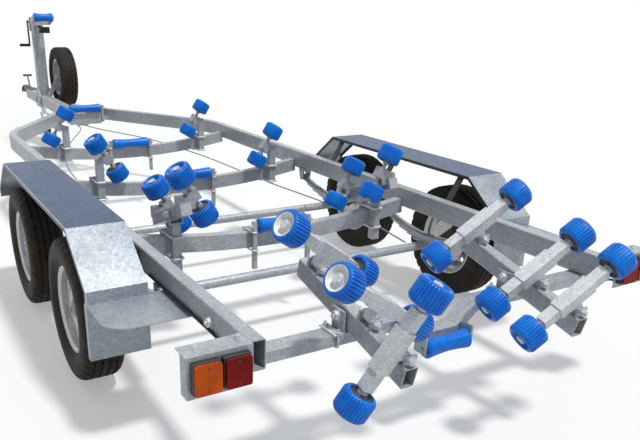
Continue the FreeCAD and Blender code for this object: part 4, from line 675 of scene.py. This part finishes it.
# Places on the chassis. Stations along Y are measured from the middle between the axles.

AXLE_LINE = (JOINTS["wheel_front_left_spin"]["pos_m"][1] + JOINTS["wheel_rear_left_spin"]["pos_m"][1]) / 2
STATIONS = {"front": 2.020, "middle": 0.880, "rear": -0.255}
REAR_MEMBER = JOINTS["cradle_beam_left_tilt"]["pos_m"][1] - AXLE_LINE
RAIL_OUTER, RAIL_TOP = 0.800, 0.565
# A bent cross-member's half width and height, and its top's height in the middle and rise at its ends
MEMBER_HALF, MEMBER_HEIGHT = 0.025, 0.075
MEMBER_TOP, MEMBER_RISE, MEMBER_REACH = 0.442, 0.068, 0.75


def at(x, station, z):
    return Vector((x, station + AXLE_LINE, z))


def member_top(x):
    """Height of a bent cross-member's top."""
    return MEMBER_TOP + MEMBER_RISE * (x / MEMBER_REACH) ** 2


# U-bolts that hold the posts to their cross-members

POST_HALF, POST_BAR, TWIN_POST_OFFSET = 0.020, 0.006, 0.046
KEEL_POST_X, KEEL_POST_HALF, KEEL_POST_BAR = 0.148, 0.010, 0.004
CLAMP_PLATE, CLAMP_GAP, BAR_LIFT, LEG_REACH = 0.012, 0.0004, 0.003, 0.022
FRONT_PLATE, FRONT_PLATE_EDGE, LEG_WASHER = 0.0065, 0.0015, 0.002
# Shares of the bar's radius: bends, washers, nuts and the plate's margins
BEND_SHARE, LEG_WASHER_SHARE, LEG_NUT_SHARE, LEG_NUT_HEIGHT = 2.2, 2.1, 3.1, 1.6
PLATE_SIDE_SHARE, PLATE_END_SHARE = 2.4, 2.6
# How far a bolt with one leg reaches behind its post, in shares of the post's half width
HOOK_SHARE = 0.4


def post_clamp(maker, x, station, half, bar, inner_leg=True):
    """Two U-bolts round a post, one over and one under the cross-member, with a plate and nuts in front."""
    inwards = -1 if x > 0 else 1
    side = half + bar + CLAMP_GAP
    inner, outer = x + inwards * side, x - inwards * side
    back = station - MEMBER_HALF - CLAMP_PLATE - 2 * half - bar - CLAMP_GAP
    face = station + MEMBER_HALF
    plate_front = face + FRONT_PLATE
    leg_end = plate_front + LEG_REACH
    over = member_top(abs(x) + side) + bar + BAR_LIFT
    under = member_top(abs(x) - side) - MEMBER_HEIGHT - bar - BAR_LIFT
    washer = [(0, 0), (0, bar * LEG_WASHER_SHARE), (LEG_WASHER, bar * LEG_WASHER_SHARE), (LEG_WASHER, 0)]
    for z, both_legs in ((over, inner_leg), (under, True)):
        path = [at(outer, leg_end, z), at(outer, back, z)]
        if both_legs:
            path += [at(inner, back, z), at(inner, leg_end, z)]
        else:
            path.append(at(x + inwards * half * HOOK_SHARE, back, z))
        maker.tube(rounded_path(path, bar * BEND_SHARE, steps=5), bar)
        for leg in (inner, outer) if both_legs else (outer,):
            maker.lathe(at(leg, plate_front, z), Y, washer, segments=18)
            maker.hexagon(at(leg, plate_front + LEG_WASHER, z), Y, bar * LEG_NUT_SHARE, bar * LEG_NUT_HEIGHT)
    wide, tall = side + bar * PLATE_SIDE_SHARE, bar * PLATE_END_SHARE
    maker.block(at(x - wide, face + CLAMP_GAP, under - tall), at(x + wide, plate_front, over + tall),
                FRONT_PLATE_EDGE)


clamps = Builder()
for side, sign in SIDES.items():
    for row in ("front", "middle"):
        joint = JOINTS["hull_rollers_%s_%s_spin" % (row, side)]
        outer_up = joint["axis"][2] * joint["axis"][0] * sign > 0
        offset = TWIN_POST_OFFSET if outer_up else -TWIN_POST_OFFSET
        post_clamp(clamps, joint["pos_m"][0] + sign * offset, STATIONS[row], POST_HALF, POST_BAR)
    post_clamp(clamps, JOINTS["rocker_%s_tilt" % side]["pos_m"][0], STATIONS["rear"], POST_HALF, POST_BAR)
    for station in STATIONS.values():
        post_clamp(clamps, sign * KEEL_POST_X, station, KEEL_POST_HALF, KEEL_POST_BAR, inner_leg=False)
finish_piece("post_clamps", clamps, "chassis", [BRIGHT_ZINC])


# Bolts on the chassis, and the U-bolts under the rear cross-member

SADDLE_OFFSET, SADDLE_HALF, SADDLE_REAR, SADDLE_FRONT = 0.060, 0.018, 0.045, 0.051
SADDLE_LOW, SADDLE_HIGH, SADDLE_EDGE = 0.4655, 0.4705, 0.001
U_BOLT_HALF, U_BOLT_LOW, U_BOLT_HIGH, U_BOLT_BAR, U_BOLT_BEND = 0.040, 0.4195, 0.487, 0.0048, 0.012
U_NUT_ACROSS, U_NUT_HEIGHT = 0.0155, 0.008
BEAM_PIN_REACH, BEAM_PIN_NUT, ROCKER_PIN_REACH, ROCKER_PIN_NUT = 0.038, 0.030, 0.032, 0.026
ARM_PIN_REACH, ARM_PIN_NUT = 0.0345, 0.023
KEEL_PIN_X, KEEL_PIN_BEHIND, KEEL_PIN_Z = 0.158, 0.047, 0.479
# Bolts that face outwards or up: x, stations, heights, facing, width over the flats
SIDE_BOLTS = {
    "first keel roller": (KEEL_PIN_X, (3.180,), (0.574,), "out", 0.018),
    "rail slot": (RAIL_OUTER + 0.0002, (-1.270,), (0.515,), "out", 0.030),
    "other keel rollers": (KEEL_PIN_X, [station - KEEL_PIN_BEHIND for station in STATIONS.values()],
                           (KEEL_PIN_Z,), "out", 0.018),
    "lamp bracket on the rail": (0.825, (-1.512,), (RAIL_TOP + 0.003,), "up", 0.017),
    "lamp bracket at its end": (0.960, (-1.512,), (RAIL_TOP + 0.003,), "up", 0.013),
    "winch post foot": (0.058, (4.715, 4.885), (0.435, 0.470), "out", 0.022),
    "mudguard stays": (0.806, (-0.560, -0.023, 0.514), (0.497, 0.533), "out", 0.015)}


def rear_u_bolt(maker, x):
    """A U-bolt under the rear cross-member, with its plate and nuts on top."""
    rear, front = REAR_MEMBER - U_BOLT_HALF, REAR_MEMBER + U_BOLT_HALF
    legs = [at(x, rear, U_BOLT_HIGH), at(x, rear, U_BOLT_LOW),
            at(x, front, U_BOLT_LOW), at(x, front, U_BOLT_HIGH)]
    maker.tube(rounded_path(legs, U_BOLT_BEND, steps=5), U_BOLT_BAR)
    maker.block(at(x - SADDLE_HALF, REAR_MEMBER - SADDLE_REAR, SADDLE_LOW),
                at(x + SADDLE_HALF, REAR_MEMBER + SADDLE_FRONT, SADDLE_HIGH), SADDLE_EDGE)
    for station in (rear, front):
        maker.hexagon(at(x, station, SADDLE_HIGH), Z, U_NUT_ACROSS, U_NUT_HEIGHT)


def pin_nuts(maker, joint, reach, across):
    """A nut on each end of a joint's pin."""
    pin, axis = Vector(joint["pos_m"]), Vector(joint["axis"])
    for out in (-axis, axis):
        maker.bolt(pin + out * reach, out, across)


fixings = Builder()
for side, sign in SIDES.items():
    beam, rocker = JOINTS["cradle_beam_%s_tilt" % side], JOINTS["rocker_%s_tilt" % side]
    for offset in (-SADDLE_OFFSET, SADDLE_OFFSET):
        rear_u_bolt(fixings, beam["pos_m"][0] + sign * offset)
    pin_nuts(fixings, beam, BEAM_PIN_REACH, BEAM_PIN_NUT)
    pin_nuts(fixings, rocker, ROCKER_PIN_REACH, ROCKER_PIN_NUT)
    for x, stations, heights, facing, across in SIDE_BOLTS.values():
        for station in stations:
            for z in heights:
                fixings.bolt(at(sign * x, station, z), X * sign if facing == "out" else Z, across)
finish_piece("fixings", fixings, "chassis", [BRIGHT_ZINC])

for side in SIDES:
    for arm in ARMS:
        joint = JOINTS["cradle_arm_%d_%s_tilt" % (arm, side)]
        nuts = Builder()
        pin_nuts(nuts, joint, ARM_PIN_REACH, ARM_PIN_NUT)
        finish_piece("pin_nuts_%d_%s" % (arm, side), nuts, joint["parent"], [BRIGHT_ZINC])


# Rolled beads along the mudguards' outer edges, in bright zinc that is a painted highlight on the rims

GUARD_TOP, GUARD_REAR, GUARD_FRONT, BEAD_END = 0.689, -0.638, 0.592, 0.475
GUARD_RUN, GUARD_DROP = 0.221, 0.169
BEAD_INSET, BEAD_SINK, BEAD_BAR, BEAD_BEND = 0.0021, 0.0012, 0.002, 0.004
BEAD_PATH = [(GUARD_REAR - GUARD_RUN, BEAD_END), (GUARD_REAR - GUARD_RUN, GUARD_TOP - GUARD_DROP),
             (GUARD_REAR, GUARD_TOP), (GUARD_FRONT, GUARD_TOP),
             (GUARD_FRONT + GUARD_RUN, GUARD_TOP - GUARD_DROP), (GUARD_FRONT + GUARD_RUN, BEAD_END)]

beads = Builder()
for sign in SIDES.values():
    run = [at(sign * (GUARD_HIGH.x - BEAD_INSET), station, z - BEAD_SINK) for station, z in BEAD_PATH]
    beads.tube(rounded_path(run, BEAD_BEND, steps=3), BEAD_BAR, sides=10)
finish_piece("guard_edges_painted_highlight", beads, "chassis", [BRIGHT_ZINC])


# The plate behind the first keel roller and the drawbar's end plate: x, stations, heights, rounding

FRONT_PLATES = (((-0.1375, 0.1375), (3.1830, 3.1890), (0.4400, 0.5300), 0.0012),
                ((-0.0495, 0.0495), (3.2965, 3.2995), (0.4105, 0.5090), 0.0008))

plates = Builder()
for across, along, up, edge in FRONT_PLATES:
    plates.block(at(across[0], along[0], up[0]), at(across[1], along[1], up[1]), edge)
finish_piece("front_keel_plate", plates, "chassis", [FRAME_ZINC])


# Brake cables, brake hoses and lamp leads, each through listed points: x, station, height

RIGHT_CABLE = ((0.025, 3.400, 0.402), (0.085, 3.080, 0.408), (0.355, 2.600, 0.382), (0.490, 1.875, 0.376),
               (0.530, 1.275, 0.374), (0.555, 0.805, 0.372), (0.605, 0.280, 0.372), (0.640, -0.080, 0.362),
               (0.660, -0.440, 0.322))
LEFT_CABLE = ((-0.025, 3.400, 0.402), (-0.080, 3.080, 0.408), (-0.330, 2.500, 0.384),
              (-0.490, 1.875, 0.376), (-0.560, 1.200, 0.372), (-0.610, 0.500, 0.340),
              (-0.640, -0.080, 0.352), (-0.660, -0.440, 0.322))
HOSE = ((0.775, 0.960, 0.463), (0.802, 0.900, 0.444), (0.808, 0.840, 0.455), (0.806, 0.780, 0.395),
        (0.806, 0.670, 0.335), (0.815, 0.545, 0.318))
LAMP_LEAD = ((0.880, -1.5585, 0.475), (0.868, -1.520, 0.446), (0.812, -1.450, 0.462), (0.8065, -1.300, 0.486),
             (0.8065, -1.000, 0.486), (0.8065, -0.700, 0.486))
CABLE_RADIUS, HOSE_RADIUS, LEAD_RADIUS, CABLE_SIDES = 0.0042, 0.0052, 0.0045, 10


def cable(maker, points, radius, sign=1, slot=0):
    path = smooth_path([at(sign * x, station, z) for x, station, z in points])
    maker.tube(path, radius, CABLE_SIDES, slot)


cables = Builder()
cable(cables, RIGHT_CABLE, CABLE_RADIUS)
cable(cables, LEFT_CABLE, CABLE_RADIUS)
for sign in SIDES.values():
    cable(cables, HOSE, HOSE_RADIUS, sign, slot=1)
    cable(cables, LAMP_LEAD, LEAD_RADIUS, sign, slot=1)
finish_piece("brake_cables", cables, "chassis", [CABLE_GREY, PLAIN_RUBBER])


# Lamp housings with their screws

LENS_WIDTH, HOUSING_MARGIN, HOUSING_EDGE = 0.080, 0.003, 0.004
HOUSING_BEHIND, HOUSING_SHORT = 0.012, 0.0003
SCREW_INSET, SCREW_SINK = 0.012, 0.0008
SCREW = ((0, 0), (0, 0.0042), (0.0012, 0.0034), (0.0014, 0))

housings = Builder()
for name in ("lamps_amber", "lamps_red"):
    low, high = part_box(name)
    for sign in SIDES.values():
        outer = high.x * sign
        left, right = sorted((outer, outer - sign * LENS_WIDTH))
        rear, front = low.y + HOUSING_BEHIND, high.y - HOUSING_SHORT
        housings.block((left - HOUSING_MARGIN, rear, low.z - HOUSING_MARGIN),
                       (right + HOUSING_MARGIN, front, high.z + HOUSING_MARGIN), HOUSING_EDGE)
        for z in (low.z + SCREW_INSET, high.z - SCREW_INSET):
            housings.lathe(((left + right) / 2, low.y + SCREW_SINK, z), -Y, SCREW, segments=16)
finish_piece("lamp_housings", housings, "chassis", [BLACK_PAINT])


# Webbing in layers on the winch drum

STRAP_LAYERS, STRAP_PITCH, STRAP_HALF = 5, 0.003, 0.036
STRAP_CORE, STRAP_FIRST, STRAP_OUTER = 0.0262, 0.029, 0.0445
STRAP_CREASE, STRAP_OUTER_INSET = (0.001, 0.0015), 0.003

strap_end = [(STRAP_HALF, STRAP_CORE)]
for layer in range(STRAP_LAYERS):
    radius = STRAP_FIRST + layer * STRAP_PITCH
    strap_end += [(STRAP_HALF, radius), (STRAP_HALF - STRAP_CREASE[0], radius + STRAP_CREASE[1])]
strap_end.append((STRAP_HALF - STRAP_OUTER_INSET, STRAP_OUTER))
drum = JOINTS["winch_drum_spin"]
strap = Builder()
strap.lathe(drum["pos_m"], X, [(-along, r) for along, r in strap_end] + strap_end[::-1], segments=64)
finish_piece("winch_strap", strap, drum["child"], [WEBBING])


# Camera, fitted to points of the photograph. Its place's Y is a station.

CAMERA_AT = (-1.6291, -3.1814, 1.464)
YAW, PITCH, ROLL = math.radians(-31.671), math.radians(-20.841), math.radians(1.544)
FOCAL_PX, CENTRE_PX, IMAGE = 714.07, (306.45, 276.30), (640, 440)
SENSOR_WIDTH, FAR_CLIP = 36.0, 200.0


def place_camera():
    forward = Vector((math.sin(-YAW) * math.cos(PITCH), math.cos(-YAW) * math.cos(PITCH), math.sin(PITCH)))
    flat_right = Vector((math.cos(-YAW), -math.sin(-YAW), 0))
    flat_up = flat_right.cross(forward)
    right = flat_right * math.cos(ROLL) + flat_up * math.sin(ROLL)
    up = flat_up * math.cos(ROLL) - flat_right * math.sin(ROLL)
    data = bpy.data.cameras.new("camera")
    data.sensor_width = SENSOR_WIDTH
    data.lens = FOCAL_PX / IMAGE[0] * SENSOR_WIDTH
    data.shift_x = (IMAGE[0] / 2 - CENTRE_PX[0]) / IMAGE[0]
    data.shift_y = (CENTRE_PX[1] - IMAGE[1] / 2) / IMAGE[0]
    data.clip_end = FAR_CLIP
    camera = bpy.data.objects.new("camera", data)
    bpy.context.scene.collection.objects.link(camera)
    turn = Matrix((right, up, -forward)).transposed().to_4x4()
    camera.matrix_world = Matrix.Translation(at(*CAMERA_AT)) @ turn
    bpy.context.scene.camera = camera


place_camera()
bpy.context.scene.view_settings.view_transform = "Standard"


# Lights, the white world and the floor

WHITE, AMBIENT_COLOR, AMBIENT_STRENGTH = (1, 1, 1), (0.80, 0.90, 1.0), 0.22
FLOOR_HALF, FLOOR_DROP = 60.0, 0.0005
FLOOR_LIT, FLOOR_SEEN = (0.22, 0.22, 0.23), (0.9, 0.9, 0.9)
# The floor fades to white round an ellipse with these half axes, from one share of it to another
FADE_HALF_X, FADE_HALF_Y, FADE_FROM, FADE_TO, FADE_LEAST = 1.9, 4.6, 0.95, 1.6, 0.35


def light(name, kind, energy, color, place, towards):
    data = bpy.data.lights.new(name, kind)
    data.energy, data.color = energy, color
    obj = bpy.data.objects.new(name, data)
    bpy.context.scene.collection.objects.link(obj)
    obj.location = place
    obj.rotation_euler = (Vector(towards) - Vector(place)).to_track_quat("-Z", "Y").to_euler()
    return data


def seen(tree):
    """1 for rays that look, reflect or pass through, 0 for rays that only light the object."""
    rays = node(tree, "ShaderNodeLightPath").outputs
    share = rays["Is Camera Ray"]
    for ray in ("Is Glossy Ray", "Is Transmission Ray"):
        share = node(tree, "ShaderNodeMath", {0: share, 1: rays[ray]}, operation="MAXIMUM").outputs[0]
    return share


def white_world():
    world = bpy.data.worlds.new("studio")
    bpy.context.scene.world = world
    world.use_nodes = True
    tree = world.node_tree
    tree.nodes.clear()
    white, ambient = [node(tree, "ShaderNodeBackground", {"Color": opaque(color), "Strength": strength})
                      for color, strength in ((WHITE, 1.0), (AMBIENT_COLOR, AMBIENT_STRENGTH))]
    choose = node(tree, "ShaderNodeMixShader",
                  {"Fac": seen(tree), 1: ambient.outputs[0], 2: white.outputs[0]})
    node(tree, "ShaderNodeOutputWorld", {"Surface": choose.outputs[0]})


def floor_material():
    """Shows a soft shadow near the trailer and fades to the world's white."""
    mat, tree, shader = new_material("pale_floor", roughness=0.9)
    tree.links.new(mixed(tree, seen(tree), FLOOR_LIT, FLOOR_SEEN), shader.inputs["Base Color"])
    glow = node(tree, "ShaderNodeEmission", {"Strength": 1.0})
    ellipse = object_vector(tree, (1 / FADE_HALF_X, 1 / FADE_HALF_Y, 1))
    distance = node(tree, "ShaderNodeVectorMath", {0: ellipse}, operation="LENGTH")
    fade = spread(tree, distance.outputs["Value"], FADE_LEAST, 1.0, FADE_FROM, FADE_TO)
    blend = node(tree, "ShaderNodeMixShader", {"Fac": fade, 1: shader.outputs[0], 2: glow.outputs[0]})
    tree.links.new(blend.outputs[0], tree.nodes["Material Output"].inputs["Surface"])
    return mat


sun = light("key", "SUN", energy=2.6, color=(1.0, 0.985, 0.96), place=(1.5, -3.2, 8.0), towards=(0, 0, 0))
sun.angle = math.radians(7)
overhead = light("overhead", "AREA", energy=140.0, color=(0.97, 0.99, 1.0), place=(0, -0.3, 7.0),
                 towards=(0, -0.3, 0))
overhead.size = 10.0
white_world()

floor_mesh = bpy.data.meshes.new("floor")
floor_mesh.from_pydata([(x * FLOOR_HALF, y * FLOOR_HALF, 0) for x, y in ((-1, -1), (1, -1), (1, 1), (-1, 1))],
                       [], [(0, 1, 2, 3)])
floor_mesh.materials.append(floor_material())
floor = bpy.data.objects.new("floor", floor_mesh)
bpy.context.scene.collection.objects.link(floor)
floor.location.z = -FLOOR_DROP
floor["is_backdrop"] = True

low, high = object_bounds()
